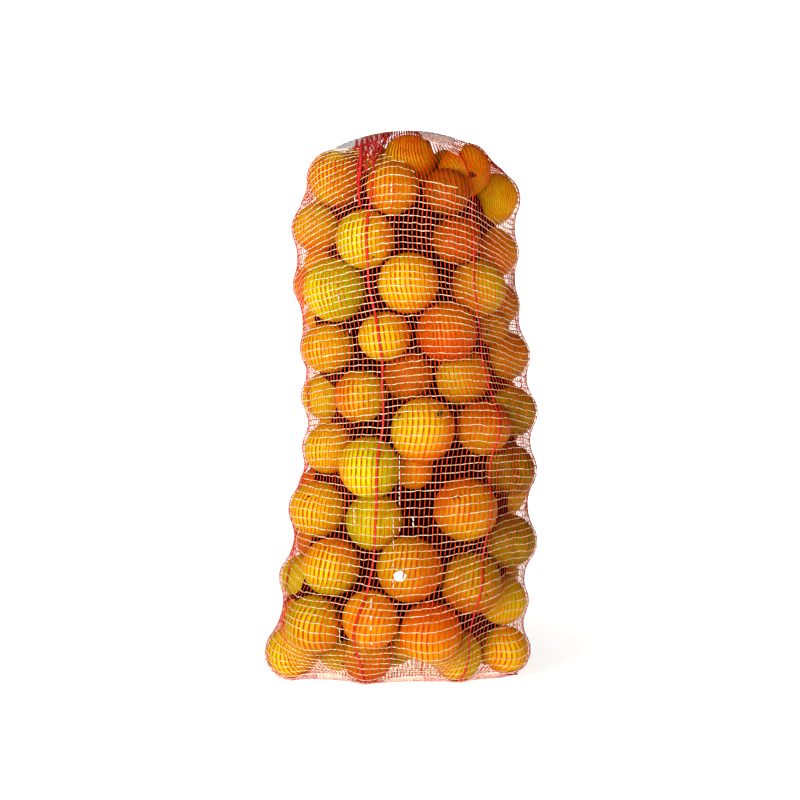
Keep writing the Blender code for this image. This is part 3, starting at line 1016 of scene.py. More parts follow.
def clear_of_fruit(points):
    """Push thread points that touch a fruit straight out of it."""
    for centre, radius in zip(fruit_centres, fruit_radii):
        away = points - centre
        far = np.linalg.norm(away, axis=-1, keepdims=True)
        least = radius + FRUIT_CLEAR
        points = np.where(far < least, centre + away * least / np.maximum(far, MM), points)
    return points


def with_middles(values, axis, closed):
    """The values with one more halfway between each two along an axis."""
    ahead = np.roll(values, -1, axis=axis)
    middle = 0.5 * (values + ahead)
    both = np.stack([values, middle], axis=axis + 1)
    shape = list(values.shape)
    shape[axis] *= 2
    both = both.reshape(shape)
    if closed:
        return both
    return both[:-1] if axis == 0 else both[:, :-1]


def warp_paths():
    """Points, outward way and width along every red tape, from bottom seam to mouth."""
    ends = np.zeros((1, WARPS))
    row = np.vstack([ends, crossing_row, ends + FILM_ROWS - 1])
    column = np.vstack([crossing_column[:1], crossing_column, crossing_column[-1:]])
    lift = np.vstack([ends, LIFT * over, ends])
    lift = with_middles(lift, 0, False)
    lift[1::2] = 0.0
    row = with_middles(row, 0, False)
    column = with_middles(column, 0, False)
    outward = on_film(normals, row, column)
    points = clear_of_fruit(on_film(film, row, column) + outward * lift[..., None])
    width = np.full(row.shape, OPEN)
    width[2:-1:2] = np.where(is_woven, PINCH, OPEN)[:, None]
    width = width * (1.0 + TAPE_UNEVEN * net_rng.standard_normal((1, WARPS)))
    width = width * (1.0 + PLACE_UNEVEN * net_rng.standard_normal(row.shape))
    across, height = points[..., 0], points[..., 2]
    bare = (np.clip((height - BARE_ABOVE) / BARE_FADE, 0.0, 1.0)
            * np.clip((across - BARE_LEFT) / BARE_FADE, 0.0, 1.0)
            * np.clip((BARE_RIGHT - across) / BARE_FADE_RIGHT, 0.0, 1.0)
            * (points[..., 1] < BARE_DEPTH))
    width = width * (1.0 - (1.0 - BARE_WIDTH) * bare)
    return [np.swapaxes(a, 0, 1) for a in (points, outward, width)]


def weft_paths():
    """Points, outward way and width round every cross thread, which closes on itself."""
    lift = with_middles(-LIFT * over, 1, True)
    lift[:, 1::2] = 0.0
    row = with_middles(crossing_row, 1, True)
    shift = with_middles(crossing_column - even_column, 1, True)
    column = with_middles(even_column, 1, True)
    column[:, -1] = even_column[0, -1] + 0.5 * STEP_ROUND
    column = column + shift
    sway = smoothed(net_rng.standard_normal(row.shape), 1, 1) * YARN_SWAY
    outward = on_film(normals, row + sway, column)
    points = clear_of_fruit(on_film(film, row + sway, column) + outward * lift[..., None])
    width = 1.0 + 0.10 * net_rng.standard_normal(row.shape)
    width[:, 1::2] *= BEAD * (1.0 + 0.22 * net_rng.standard_normal(width[:, 1::2].shape))
    top = np.where(points[..., 1] < 0.0,
                   np.interp(points[..., 0], THREADS_END_AT, THREADS_END_HIGH), TOP_THREAD)
    kept = points[..., 2] < top
    for shift in range(1, RUN_LENGTH + 1):
        kept = kept & (np.roll(kept, shift, axis=1) | np.roll(kept, -shift, axis=1))
    return points, outward, np.clip(width, 0.5, 1.7), kept


over = np.where(net_rng.uniform(size=(WEFTS, WARPS)) < OVER_SHARE, 1.0, -1.0)
tape_points, tape_outward, tape_width = warp_paths()
yarn_points, yarn_outward, yarn_width, yarn_kept = weft_paths()
is_rib = (np.arange(WARPS) - RIB_FIRST) % RIB_EVERY == 0
is_back = np.arange(WARPS) < WARPS // 2
is_lower = np.arange(WEFTS) < WEFTS // 2
tapes = (tape_points, tape_outward, tape_width, False)
ribs = (tape_points, tape_outward, 0.5 + 0.5 * tape_width, False)
yarns = (yarn_points, yarn_outward, yarn_width, True, yarn_kept)
# name, threads and which of them, then width, thickness and material
NET_PARTS = (
    ("red_tapes_back", tapes, ~is_rib & is_back, TAPE_WIDTH, TAPE_THICKNESS, red_tape),
    ("red_tapes_front", tapes, ~is_rib & ~is_back, TAPE_WIDTH, TAPE_THICKNESS, red_tape),
    ("wide_red_ribs", ribs, is_rib, TAPE_WIDTH * RIB_WIDTH, TAPE_THICKNESS, rib_tape),
    ("cream_threads_lower", yarns, is_lower, YARN_WIDTH, YARN_THICKNESS, cream_yarn),
    ("cream_threads_upper", yarns, ~is_lower, YARN_WIDTH, YARN_THICKNESS, cream_yarn),
)
net_pieces = []
for name, threads, chosen, width, thickness, material in NET_PARTS:
    threads = [part if isinstance(part, bool) else part[chosen] for part in threads]
    paths = paths_object(name + "_paths", *threads)
    net_pieces.append(built(name, paths, sweep, Width=width, Thickness=thickness,
                            Material=material))

# %% [markdown]
# ## The oranges
# An orange is nearly a sphere, a little flattened, with slow bumps, a shallow dimple at
# the stem end and a fine grain of oil glands. All of them share one modelled fruit. A tree
# puts it at every centre, turned and sized there, and then dents each one with its own
# noise. The noise only pushes inward, so no fruit ever pokes through the net that was
# pulled over it. Ripeness and dullness, which is partly painted shade, ride along as
# attributes for the peel to read.

# %% Model one orange
SEGMENTS = 52
RINGS = 34
DIMPLE_DEPTH = 0.05
DIMPLE_REACH = 0.17
FOOT_DEPTH = 0.02
PLEATS = 9
PLEAT_DEPTH = 0.006
PLEAT_REACH = 0.35
INNER_SEGMENTS = 28
INNER_RINGS = 18


def orange_mesh(name, segments, rings):
    """A unit orange with its stem end up, carrying its own coordinates."""
    shape = bmesh.new()
    bmesh.ops.create_uvsphere(shape, u_segments=segments, v_segments=rings, radius=1.0)
    own_place = [vertex.co[:] for vertex in shape.verts]
    for vertex in shape.verts:
        polar = math.acos(max(-1.0, min(1.0, vertex.co.z)))
        turn = math.atan2(vertex.co.y, vertex.co.x)
        stem = DIMPLE_DEPTH * math.exp(-(polar / DIMPLE_REACH) ** 2)
        foot = FOOT_DEPTH * math.exp(-((math.pi - polar) / (0.5 * DIMPLE_REACH)) ** 2)
        pleat = PLEAT_DEPTH * math.cos(PLEATS * turn) * math.sin(polar)
        pleat = pleat * math.exp(-(polar / PLEAT_REACH) ** 2)
        vertex.co *= 1.0 - stem - foot - pleat
    mesh = smooth_mesh(name, shape)
    carry(mesh, own_place=own_place)
    return in_scene(name, mesh)


outer_orange = orange_mesh("one_orange", SEGMENTS, RINGS)
inner_orange = orange_mesh("one_inner_orange", INNER_SEGMENTS, INNER_RINGS)
print("faces of one orange:", len(outer_orange.data.polygons))

# %% Which way each orange faces
fruit_rng = np.random.default_rng(5)
BUTTON_SEEN = {37: (0.50, -0.80, -0.28)}
SEEN_FROM_FRONT = 0.35
MEAN_RIPENESS = 0.60
MEAN_DULLNESS = 0.15
FILLER_RIPENESS = 0.58
# painted shade: dullness given to the fillers on the right of the sack, which lies in shade
FILLER_PAINTED_SHADE_RIGHT = 0.7
OUTER_DEPTH = 14.0 * MM


def stem_ways():
    """Unit direction of each fruit's stem end; on the front row they mostly face away."""
    way = fruit_rng.standard_normal((fruit_count, 3))
    way /= np.linalg.norm(way, axis=1, keepdims=True)
    facing = (np.arange(fruit_count) < len(FRONT_FRUIT)) & (-way[:, 1] > SEEN_FROM_FRONT)
    way[facing, 1] *= -1.0
    for index, seen in BUTTON_SEEN.items():
        way[index] = np.array(seen) / np.linalg.norm(seen)
    return way


def turned_to(way):
    """Rotation that takes +Z to the given way, with a random spin about it."""
    spin = Matrix.Rotation(fruit_rng.uniform(0.0, 2.0 * math.pi), 4, "Z")
    return Vector(way).to_track_quat("Z", "Y").to_matrix().to_4x4() @ spin


stem_way = stem_ways()
fruit_turn = [turned_to(way) for way in stem_way]
ripeness = fruit_rng.normal(MEAN_RIPENESS, 0.14, fruit_count)
dullness = np.clip(fruit_rng.normal(MEAN_DULLNESS, 0.15, fruit_count), 0.0, 1.0)
shown_tones = np.array(FRONT_FRUIT)[:, 4:]
ripeness[:len(shown_tones)] = shown_tones[:, 0]
# the front fruit's dullness is partly painted shade, high on the fruit in shade on the right
dullness[:len(shown_tones)] = shown_tones[:, 1]
flatness = fruit_rng.uniform(0.93, 1.0, fruit_count)
is_extra = np.arange(fruit_count) >= FRUIT_COUNT
ripeness[is_extra] = FILLER_RIPENESS
# painted shade: fillers on the right get a dull brown peel because that side is in shade
on_right = fruit_centres[is_extra, 0] > 0.0
dullness[is_extra] = np.where(on_right, FILLER_PAINTED_SHADE_RIGHT, MEAN_DULLNESS)

# fruit: how much greener its left, front and upper sides are; negative is riper
GREEN_SIDES = {
    0: (0.15, 0.05, 0.05), 1: (0.15, 0.0, 0.10), 3: (0.05, 0.0, 0.15), 6: (0.0, 0.05, 0.25),
    7: (0.25, 0.05, 0.05), 9: (-0.10, 0.0, 0.10), 11: (-0.22, 0.15, 0.10),
    13: (0.15, 0.10, 0.05), 14: (-0.25, 0.0, 0.15), 16: (0.10, 0.05, 0.0),
    17: (0.0, 0.0, 0.25), 19: (0.20, 0.05, 0.15), 21: (-0.25, 0.0, 0.05),
    23: (0.15, 0.08, 0.10), 24: (0.05, 0.0, -0.20), 26: (0.10, 0.0, 0.0),
    27: (-0.22, 0.05, 0.08), 28: (0.15, 0.0, -0.15), 30: (-0.10, 0.0, -0.15),
    32: (0.25, 0.05, 0.05), 33: (-0.25, 0.05, 0.05), 34: (0.15, 0.05, 0.05),
    35: (0.05, 0.0, -0.30), 37: (-0.05, -0.05, 0.30), 39: (0.15, 0.0, 0.20),
    41: (0.05, 0.0, -0.20), 43: (0.0, 0.0, 0.30), 44: (-0.25, 0.0, -0.05),
}
green_way = np.zeros((fruit_count, 3))
green_way[list(GREEN_SIDES)] = np.array(list(GREEN_SIDES.values())) * (-1.0, -1.0, 1.0)
film_spots = film.reshape(-1, 3)
depth_in_sack = np.array([np.linalg.norm(film_spots - centre, axis=1).min()
                          for centre in fruit_centres]) - fruit_radii
is_outer = depth_in_sack < OUTER_DEPTH
print("outer fruit:", int(is_outer.sum()), "inner fruit:", int((~is_outer).sum()))

# %% Tree that fills the sack with oranges


def heap_tree():
    """Puts the one orange at every point, with its own turn, size, dents and tone."""
    tree, start, end = new_tree("heap_of_oranges", (
        ("Orange", "NodeSocketObject"), ("Slow dents", "NodeSocketFloat"),
        ("Small dents", "NodeSocketFloat"), ("Material", "NodeSocketMaterial")))
    real = node(tree, "GeometryNodeRealizeInstances",
                {"Geometry": set_on_points(tree, start, "Orange")})
    place = node(tree, "ShaderNodeVectorMath",
                 {0: carried(tree, "own_place"), 1: carried(tree, "seed")}, operation="ADD")
    dents = 0.0
    for label, scale in (("Slow dents", 1.1), ("Small dents", 4.5)):
        bumps = node(tree, "ShaderNodeTexNoise", {"Vector": place.outputs[0], "Scale": scale})
        deep = arithmetic(tree, "MULTIPLY", bumps.outputs["Fac"], start.outputs[label])
        dents = arithmetic(tree, "ADD", dents, deep)
    inward = arithmetic(tree, "MULTIPLY", dents, carried(tree, "radius", "FLOAT"))
    inward = arithmetic(tree, "MULTIPLY", inward, -1.0)
    normal = node(tree, "GeometryNodeInputNormal")
    offset = node(tree, "ShaderNodeVectorMath",
                  {0: normal.outputs[0], "Scale": inward}, operation="SCALE")
    dented = node(tree, "GeometryNodeSetPosition",
                  {"Geometry": real.outputs[0], "Offset": offset.outputs[0]})
    greener = node(tree, "ShaderNodeVectorMath",
                   {0: normal.outputs[0], 1: carried(tree, "green_way")},
                   operation="DOT_PRODUCT")
    toned = node(tree, "GeometryNodeStoreNamedAttribute",
                 {"Geometry": dented.outputs[0], "Name": "greener",
                  "Value": greener.outputs["Value"]}, data_type="FLOAT")
    return finish_tree(tree, start, end, toned.outputs[0])


def points_object(name, spots, index, **values):
    """Bare points that carry the turn of their fruit and other values."""
    mesh = bpy.data.meshes.new(name)
    mesh.from_pydata(spots.tolist(), [], [])
    carry(mesh, turn=[fruit_turn[k].to_euler()[:] for k in index], **values)
    return in_scene(name, mesh)


def fruit_points(name, chosen):
    """A point at each chosen fruit's centre, carrying its turn, size and tone."""
    index = np.flatnonzero(chosen)
    size = fruit_radii[index, None] * np.ones((1, 3))
    size[:, 2] *= flatness[index]
    seed = fruit_rng.uniform(-40.0, 40.0, (len(index), 3))
    return points_object(name, fruit_centres[index], index, size=size, seed=seed,
                         green_way=green_way[index], radius=fruit_radii[index],
                         ripeness=ripeness[index], dullness=dullness[index])


heap = heap_tree()
print("tree nodes:", len(heap.nodes))

# %% [markdown]
# ## Peel
# Peel changes colour slowly over one fruit and strongly from fruit to fruit. A colour ramp
# from olive green through yellow to red orange is read at each fruit's ripeness, shifted a
# little by slow noise so no fruit is one flat tone. Noise in the fruit's own coordinates
# moves with the fruit. The oil glands are far too small to model, so they are a fine bump.

# %% Peel material
PEEL_TONES = (
    (0.00, (0.480, 0.530, 0.002)),
    (0.25, (0.680, 0.630, 0.002)),
    (0.50, (0.800, 0.540, 0.002)),
    (0.75, (0.790, 0.290, 0.002)),
    (1.00, (0.700, 0.110, 0.002)),
)
# the brown that dull peel is mixed towards: partly a dull tone of the fruit, partly painted
# shade
BRUISE_AND_SHADE = (0.18, 0.092, 0.002)
# noises by scale and detail; the first two end with how far they shift the tone
TONE_SHIFTS = ((0.9, 2.0, 0.45), (5.0, 4.0, 0.16))
BRUISE_AND_SHADE_NOISE = (2.2, 5.0)
BRUISE_AND_SHADE_LEAST = 0.2
SWELL_NOISE = (6.0, 3.0)
GLOSS_NOISE = (3.0, 3.0)
GLOSS_FROM = 0.30
GLOSS_TO = 0.52
GLAND_SCALE = 36.0
# strength and depth of the bumps
GLAND_RELIEF = (0.45, 0.35 * MM)
SWELL_RELIEF = (0.6, 1.2 * MM)


def attribute(tree, name, output):
    """An attribute that rides on the mesh."""
    return node(tree, "ShaderNodeAttribute", attribute_name=name).outputs[output]


def peel_material(name):
    """Orange peel that reads ripeness and dullness, partly painted shade, from each fruit."""
    made, tree, shader = new_material(name, 0.4, Specular_IOR_Level=0.14)
    place = node(tree, "ShaderNodeVectorMath",
                 {0: attribute(tree, "own_place", "Vector"),
                  1: attribute(tree, "seed", "Vector")}, operation="ADD").outputs[0]
    tone = arithmetic(tree, "SUBTRACT", attribute(tree, "ripeness", "Fac"),
                      attribute(tree, "greener", "Fac"))
    for scale, detail, shift in TONE_SHIFTS:
        change = arithmetic(tree, "SUBTRACT", noise(tree, place, scale, detail), 0.5)
        tone = arithmetic(tree, "ADD", tone, arithmetic(tree, "MULTIPLY", change, shift))
    colour = ramp(tree, tone, PEEL_TONES)
    # dull brown in patches: partly dull peel, partly painted shade
    dull = arithmetic(tree, "ADD", noise(tree, place, *BRUISE_AND_SHADE_NOISE), BRUISE_AND_SHADE_LEAST)
    dull = arithmetic(tree, "MULTIPLY", attribute(tree, "dullness", "Fac"), dull)
    mixed = node(tree, "ShaderNodeMix", data_type="RGBA")
    tree.links.new(dull, mixed.inputs[0])
    tree.links.new(colour, mixed.inputs[6])
    mixed.inputs[7].default_value = (*BRUISE_AND_SHADE, 1.0)
    tree.links.new(mixed.outputs[2], shader.inputs["Base Color"])
    glands = node(tree, "ShaderNodeTexVoronoi", {"Vector": place, "Scale": GLAND_SCALE},
                  feature="SMOOTH_F1")
    pits = relief(tree, glands.outputs["Distance"], *GLAND_RELIEF)
    swells = relief(tree, noise(tree, place, *SWELL_NOISE), *SWELL_RELIEF, Normal=pits)
    tree.links.new(swells, shader.inputs["Normal"])
    gloss = node(tree, "ShaderNodeMapRange",
                 {"Value": noise(tree, place, *GLOSS_NOISE), "To Min": GLOSS_FROM,
                  "To Max": GLOSS_TO})
    tree.links.new(gloss.outputs[0], shader.inputs["Roughness"])
    return made


peel = peel_material("orange_peel")
print("peel nodes:", len(peel.node_tree.nodes))

# %% Fill the sack
SLOW_DENTS = 0.035
SMALL_DENTS = 0.006
is_shown = np.arange(fruit_count) < len(FRONT_FRUIT)
fruit_groups = {"oranges_in_front": (is_shown, outer_orange),
                "oranges_round_the_back": (is_outer & ~is_shown, outer_orange),
                "oranges_inside": (~is_outer & ~is_shown, inner_orange)}
fruit_pieces = []
for name, (chosen, model) in fruit_groups.items():
    points = fruit_points(name + "_points", chosen)
    piece = built(name, points, heap, **{"Orange": model, "Slow dents": SLOW_DENTS,
                                         "Small dents": SMALL_DENTS, "Material": peel})
    fruit_pieces.append(piece)
for model in (outer_orange, inner_orange):
    bpy.data.objects.remove(model, do_unlink=True)

# %% [markdown]
# ## The painted shade core
# A real sack is too full to see through. Here the few sight lines that pass between all
# the fruit would show daylight, so a dark, lumpy core sits deep inside, well behind the
# first layer. Its near black brown is painted shade, where shaded fruit deeper in the sack
# would be. It is the film itself drawn in towards the middle of the sack.

# %% Dark core of painted shade
CORE_SHARE = (0.84, 0.50)
CORE_LUMPS = 0.04
CORE_MIDDLE = 0.32
CORE_TALL = 0.86
CORE_SKIP = 3


# painted shade: near black brown for the core, in place of the shade deep inside the sack
shade_brown = streaked("deep_shade", (0.004, 0.0015, 0.0008), (0.012, 0.005, 0.002), 0.95,
                       (60.0, 60.0, 60.0), 0.5, Specular_IOR_Level=0.05)


def core_mesh(name):
    """The film drawn in towards the sack's middle line, made lumpy, closed and welded."""
    middle = film.mean(axis=1, keepdims=True)
    middle[:, :, 1] = 0.0
    middle[:, :, 2] = CORE_MIDDLE
    height = film[:, :, 2] / SACK_HEIGHT
    turn = np.array(circle(FILM_COLUMNS))
    lumps = np.sin(5.0 * turn + 40.0 * height) + np.sin(3.0 * turn - 23.0 * height)
    lumpy = 1.0 + CORE_LUMPS * lumps
    share = np.stack([CORE_SHARE[0] * lumpy, CORE_SHARE[1] * lumpy,
                      np.full(lumpy.shape, CORE_TALL)], axis=2)
    spots = (middle + (film - middle) * share)[::CORE_SKIP, ::CORE_SKIP]
    mesh = bpy.data.meshes.new("core_film")
    mesh.from_pydata(spots.reshape(-1, 3).tolist(), [], grid_faces(*spots.shape[:2]).tolist())
    shape = bmesh.new()
    shape.from_mesh(mesh)
    bmesh.ops.remove_doubles(shape, verts=shape.verts, dist=0.1 * MM)
    bmesh.ops.holes_fill(shape, edges=shape.edges, sides=0)
    bmesh.ops.recalc_face_normals(shape, faces=shape.faces)
    return in_scene(name, smooth_mesh(name, shape), shade_brown)


dark_core = core_mesh("dark_core")
print("core faces:", len(dark_core.data.polygons))

# %% [markdown]
# ## Stem buttons, marks and a leaf
# Where the stalk was cut, each orange keeps a small green brown button, a five lobed
# calyx in the dimple. Some fruit have dark scars, and one still holds the tip of a leaf.
# The buttons repeat, so a tree sets one small model at every stem. The scars and the leaf
# are few, so they are built one by one, dropped onto the peel along a ray.

# %% Stem buttons
BUTTON_RADIUS = 3.4 * MM
BUTTON_SUNK = 0.9 * MM
BUTTON_STEPS = 20
CALYX_LOBES = 0.28
STALK_LOBES = 0.042
# reach and rise of each ring, as shares of its radius
BUTTON_RINGS = ((0.55, -0.5), (1.0, -0.1), (0.9, 0.12), (0.40, 0.18), (0.34, 0.42))


def button_mesh():
    """A five lobed calyx with a small cut stalk in its middle; its underside is closed."""
    shape = bmesh.new()
    loops = []
    for reach, rise in BUTTON_RINGS:
        lobes = CALYX_LOBES if reach > 0.5 else STALK_LOBES
        loop = []
        for turn in circle(BUTTON_STEPS):
            out = reach * (1.0 + lobes * math.cos(5.0 * turn))
            loop.append(shape.verts.new((out * math.cos(turn), out * math.sin(turn), rise)))
        loops.append(loop)
    join_loops(shape, loops)
    cap_loops(shape, loops)
    return in_scene("one_button", smooth_mesh("one_button", shape))


def buttons_tree():
    """Puts the one button at every stem, turned and sized there."""
    tree, start, end = new_tree("buttons_on_stems", (
        ("Button", "NodeSocketObject"), ("Material", "NodeSocketMaterial")))
    return finish_tree(tree, start, end, set_on_points(tree, start, "Button"))


def button_points(name, chosen):
    """A point in each chosen fruit's dimple, with the turn and the button's size."""
    index = np.flatnonzero(chosen)
    reach = fruit_radii * flatness * (1.0 - DIMPLE_DEPTH) - BUTTON_SUNK
    spots = fruit_centres + stem_way * reach[:, None]
    size = BUTTON_RADIUS * fruit_rng.uniform(0.8, 1.15, (len(index), 1)) * np.ones((1, 3))
    return points_object(name, spots[index], index, size=size)


calyx_green = streaked("dry_calyx", (0.035, 0.040, 0.012), (0.13, 0.12, 0.035), 0.7,
                       (900.0, 900.0, 900.0), 0.8)
one_button = button_mesh()
stem_buttons = built("stem_buttons", button_points("stem_points", is_outer | is_shown),
                     buttons_tree(), Button=one_button, Material=calyx_green)
bpy.data.objects.remove(one_button, do_unlink=True)

# %% Marks on the peel
# fruit, across and up on its face as shares of its radius, half width and half height in mm
SCARS = (
    (30, -0.41, 0.48, 2.3, 3.0), (30, -0.25, 0.49, 2.2, 2.9), (30, -0.15, 0.55, 1.2, 1.3),
    (31, -0.31, 0.55, 2.6, 1.4), (31, -0.42, 0.44, 1.2, 1.0), (35, -0.07, 0.80, 2.2, 1.9),
    (35, -0.19, 0.76, 1.2, 1.4), (2, 0.26, -0.22, 5.5, 4.0), (0, 0.30, -0.55, 1.6, 1.2),
    (43, -0.48, 0.32, 1.8, 2.4), (12, -0.40, -0.50, 1.4, 1.1), (7, 0.30, -0.62, 2.0, 1.2),
)
SCAR_STEPS = 14
SCAR_UNEVEN = 0.22
SCAR_RAGGED = 0.12
# reach of each ring as a share, and its rise in mm
SCAR_RINGS = ((0.7, -0.5), (1.0, -0.15), (0.8, 0.10), (0.4, 0.22))
front_tree = BVHTree.FromObject(fruit_pieces[0], bpy.context.evaluated_depsgraph_get())


def on_peel(fruit, across, up):
    """The spot on a front fruit's face, and the direction out of the peel there."""
    out = Vector((across, -math.sqrt(max(0.05, 1.0 - across ** 2 - up ** 2)), up)).normalized()
    centre = Vector(fruit_centres[fruit])
    start = centre + out * fruit_radii[fruit] * 1.2
    spot, normal, _, _ = front_tree.ray_cast(start, -out)
    return spot, normal


def sides_of(normal):
    """Two directions along the surface, roughly across and up."""
    across = Vector((0.0, 0.0, 1.0)).cross(normal).normalized()
    return across, normal.cross(across).normalized()


def scar_mesh(name):
    """Low, ragged, closed blisters dropped on the peel."""
    shape = bmesh.new()
    for fruit, across, up, half_width, half_height in SCARS:
        spot, normal = on_peel(fruit, across, up)
        side, rise = sides_of(normal)
        loops = []
        for reach, lift in SCAR_RINGS:
            loop = []
            for turn in circle(SCAR_STEPS):
                ragged = reach * (1.0 + SCAR_UNEVEN * math.sin(3.0 * turn + fruit)
                                  + SCAR_RAGGED * math.sin(7.0 * turn))
                away = side * math.cos(turn) * half_width + rise * math.sin(turn) * half_height
                away = away * ragged * MM
                bend = away.length ** 2 / (2.0 * fruit_radii[fruit])
                loop.append(shape.verts.new(spot + away + normal * (lift * MM - bend)))
            loops.append(loop)
        join_loops(shape, loops)
        cap_loops(shape, loops)
    bmesh.ops.recalc_face_normals(shape, faces=shape.faces)
    return in_scene(name, smooth_mesh(name, shape), scar_brown)


scar_brown = streaked("dry_scar", (0.012, 0.007, 0.004), (0.07, 0.030, 0.010), 0.75,
                      (1200.0, 1200.0, 1200.0), 0.8)
peel_marks = scar_mesh("peel_marks")
print("marks:", len(SCARS))

# %% Leaf tip
LEAF_FRUIT = 23
LEAF_AT = (0.47, 0.56)
LEAF_LENGTH = 11.0 * MM
LEAF_HALF_WIDTH = 2.6 * MM
LEAF_THICKNESS = 0.35 * MM
LEAF_LEAN = 0.9
LEAF_ROWS = 11
LEAF_FOLD = 0.5


def leaf_mesh(name):
    """A narrow pointed leaf, folded along its rib and curling away from the peel."""
    spot, normal = on_peel(LEAF_FRUIT, *LEAF_AT)
    side, rise = sides_of(normal)
    along = (rise * math.cos(LEAF_LEAN) + side * math.sin(LEAF_LEAN)).normalized()
    across = normal.cross(along).normalized()
    shape = bmesh.new()
    rows = []
    for share in np.linspace(0.0, 1.0, LEAF_ROWS):
        half = LEAF_HALF_WIDTH * math.sin(math.pi * min(1.0, 0.12 + 0.86 * share)) ** 0.7
        middle = spot + along * LEAF_LENGTH * (share - 0.5)
        middle = middle + normal * MM * (0.4 + 2.2 * share ** 2)
        rows.append([shape.verts.new(middle + (across * j + normal * abs(j) * LEAF_FOLD) * half)
                     for j in (-1.0, -0.5, 0.0, 0.5, 1.0)])
    join_loops(shape, rows, closed=False)
    return thickened(in_scene(name, smooth_mesh(name, shape), leaf_green), LEAF_THICKNESS)


leaf_green = streaked("orange_leaf", (0.020, 0.075, 0.008), (0.060, 0.160, 0.020), 0.45,
                      (500.0, 500.0, 500.0), 0.5, Coat_Weight=0.2)
leaf_tip = leaf_mesh("leaf_tip")
print("leaf length in mm:", LEAF_LENGTH / MM)

# %% [markdown]
# ## Threads laid one by one
# The rest of the net's own work, its hem, its lacing and its loose ends, is also thread.
# The same sweeping tree makes it: each thread is a short row of points, dropped onto the
# film or led along its rows, with the way outward beside it.

# %% Helpers for threads laid one by one
film_faces = grid_faces(FILM_ROWS, FILM_COLUMNS).tolist()
film_tree = BVHTree.FromPolygons(film.reshape(-1, 3).tolist(), film_faces)
hand_rng = np.random.default_rng(33)
IN_FRONT = Vector((0.0, -1.0, 0.0))


def dropped(across, height, lift):
    """The spot on the front of the film at across and height, lifted off it, and its way out."""
    start = Vector((across, -0.5, height))
    spot, normal, _, _ = film_tree.ray_cast(start, -IN_FRONT)
    if spot is None:
        spot, normal, _, _ = film_tree.find_nearest(Vector((across, -0.03, height)))
    if normal.dot(IN_FRONT) < 0.0 and abs(normal.z) < 0.9:
        normal = -normal
    return spot + normal * lift, normal


def laid(across, height, lift):
    """Points and outward ways of a thread dropped onto the film at rows of places."""
    places = zip(*np.broadcast_arrays(across, height, lift))
    found = [dropped(*place) for place in places]
    return [spot for spot, _ in found], [out for _, out in found]


def thread_piece(name, threads, width, thickness, material):
    """One piece from threads of any length; a thread is its points, outward ways and widths."""
    ends = np.cumsum([len(line) for line, _, _ in threads])
    numbers = np.arange(ends[-1] - 1)
    numbers = numbers[~np.isin(numbers + 1, ends)]
    points, ways, widths = [np.concatenate([np.array(thread[k]) for thread in threads])
                            for k in range(3)]
    source = edges_object(name + "_paths", points, np.column_stack([numbers, numbers + 1]),
                          ways, widths)
    return built(name, source, sweep, Width=width, Thickness=thickness, Material=material)


print("film faces:", len(film_faces))

# %% [markdown]
# ## Bottom hem
# The tube of net is closed at the foot by an overlocked hem: a band of cross threads drawn
# close together, bound by a magenta thread that zigzags over the edge. The filled sack
# stands on most of it. What is left to see is a pale pink frill that rides up and down
# between the lowest oranges, and at the two corners the binding itself, with frayed ends.

# %% Sew the bottom hem
HEM_FIRST = 66.0
HEM_LAST = 150.0
HEM_POINTS = 420
HEM_ROW = 9.6
HEM_THREADS = 7
HEM_PITCH = 1.35 * MM
CORNER_RISE_LEFT = 8.0
CORNER_RISE_RIGHT = 2.0
CORNER_REACH = 5.0
HEM_FLUTTER = 0.9 * MM
HEM_LIFT = 1.3 * MM
HEM_LOWEST = 0.8 * MM
HEM_WIDTH = 1.3 * MM
HEM_THICKNESS = 0.6 * MM


def hem_line(offset, flutter_seed):
    """One thread of the hem, offset up the film from the hem's lower edge."""
    column = np.linspace(HEM_FIRST, HEM_LAST, HEM_POINTS)
    left = CORNER_RISE_LEFT * np.exp(-((column - FILM_COLUMNS / 2) / CORNER_REACH) ** 2)
    right = CORNER_RISE_RIGHT * np.exp(-((column - FILM_COLUMNS) / CORNER_REACH) ** 2)
    row = HEM_ROW + left + right
    row_size, _ = step_sizes(row, column)
    row = row + offset / row_size
    outward = on_film(normals, row, column)
    flutter = (np.sin(column * 2.1 + flutter_seed)
               + 0.6 * np.sin(column * 5.3 + 2.0 * flutter_seed))
    lift = HEM_LIFT + HEM_FLUTTER * 0.5 * (1.0 + 0.5 * flutter)
    points = on_film(film, row, column) + outward * lift[:, None]
    points[:, 2] = np.maximum(points[:, 2], HEM_LOWEST)
    return points, outward


hem_threads = []
for k in range(HEM_THREADS):
    points, outward = hem_line(k * HEM_PITCH, 0.35 * k)
    hem_threads.append((points, outward, 0.8 + 0.3 * hand_rng.uniform(size=HEM_POINTS)))
bottom_hem = thread_piece("bottom_hem", hem_threads, HEM_WIDTH, HEM_THICKNESS, hem_yarn)

# %% Back the hem
BAND_SUNK = 0.9 * MM
BAND_THICKNESS = 0.3 * MM
band_paint = streaked("pale_hem_band", (0.86, 0.50, 0.40), (1.0, 0.86, 0.78), 0.6,
                      (300.0, 300.0, 300.0), 0.5)


def ribbon(name, lines):
    """A closed band between lines of points, sunk a little towards the film."""
    shape = bmesh.new()
    loops = [[shape.verts.new(spot) for spot in points - outward * BAND_SUNK]
             for points, outward in lines]
    join_loops(shape, loops, closed=False)
    return thickened(in_scene(name, smooth_mesh(name, shape), band_paint), BAND_THICKNESS)


hem_band = ribbon("hem_band", (hem_line(0.0, 0.0), hem_line(HEM_THREADS * HEM_PITCH, 0.35)))
print("hem band points:", len(hem_band.data.vertices))

# %% Bind the hem
BINDING_PITCH = 2
BINDING_LIFT = 0.7 * MM
BINDING_WIDTH = 1.3 * MM
BINDING_THICKNESS = 0.7 * MM
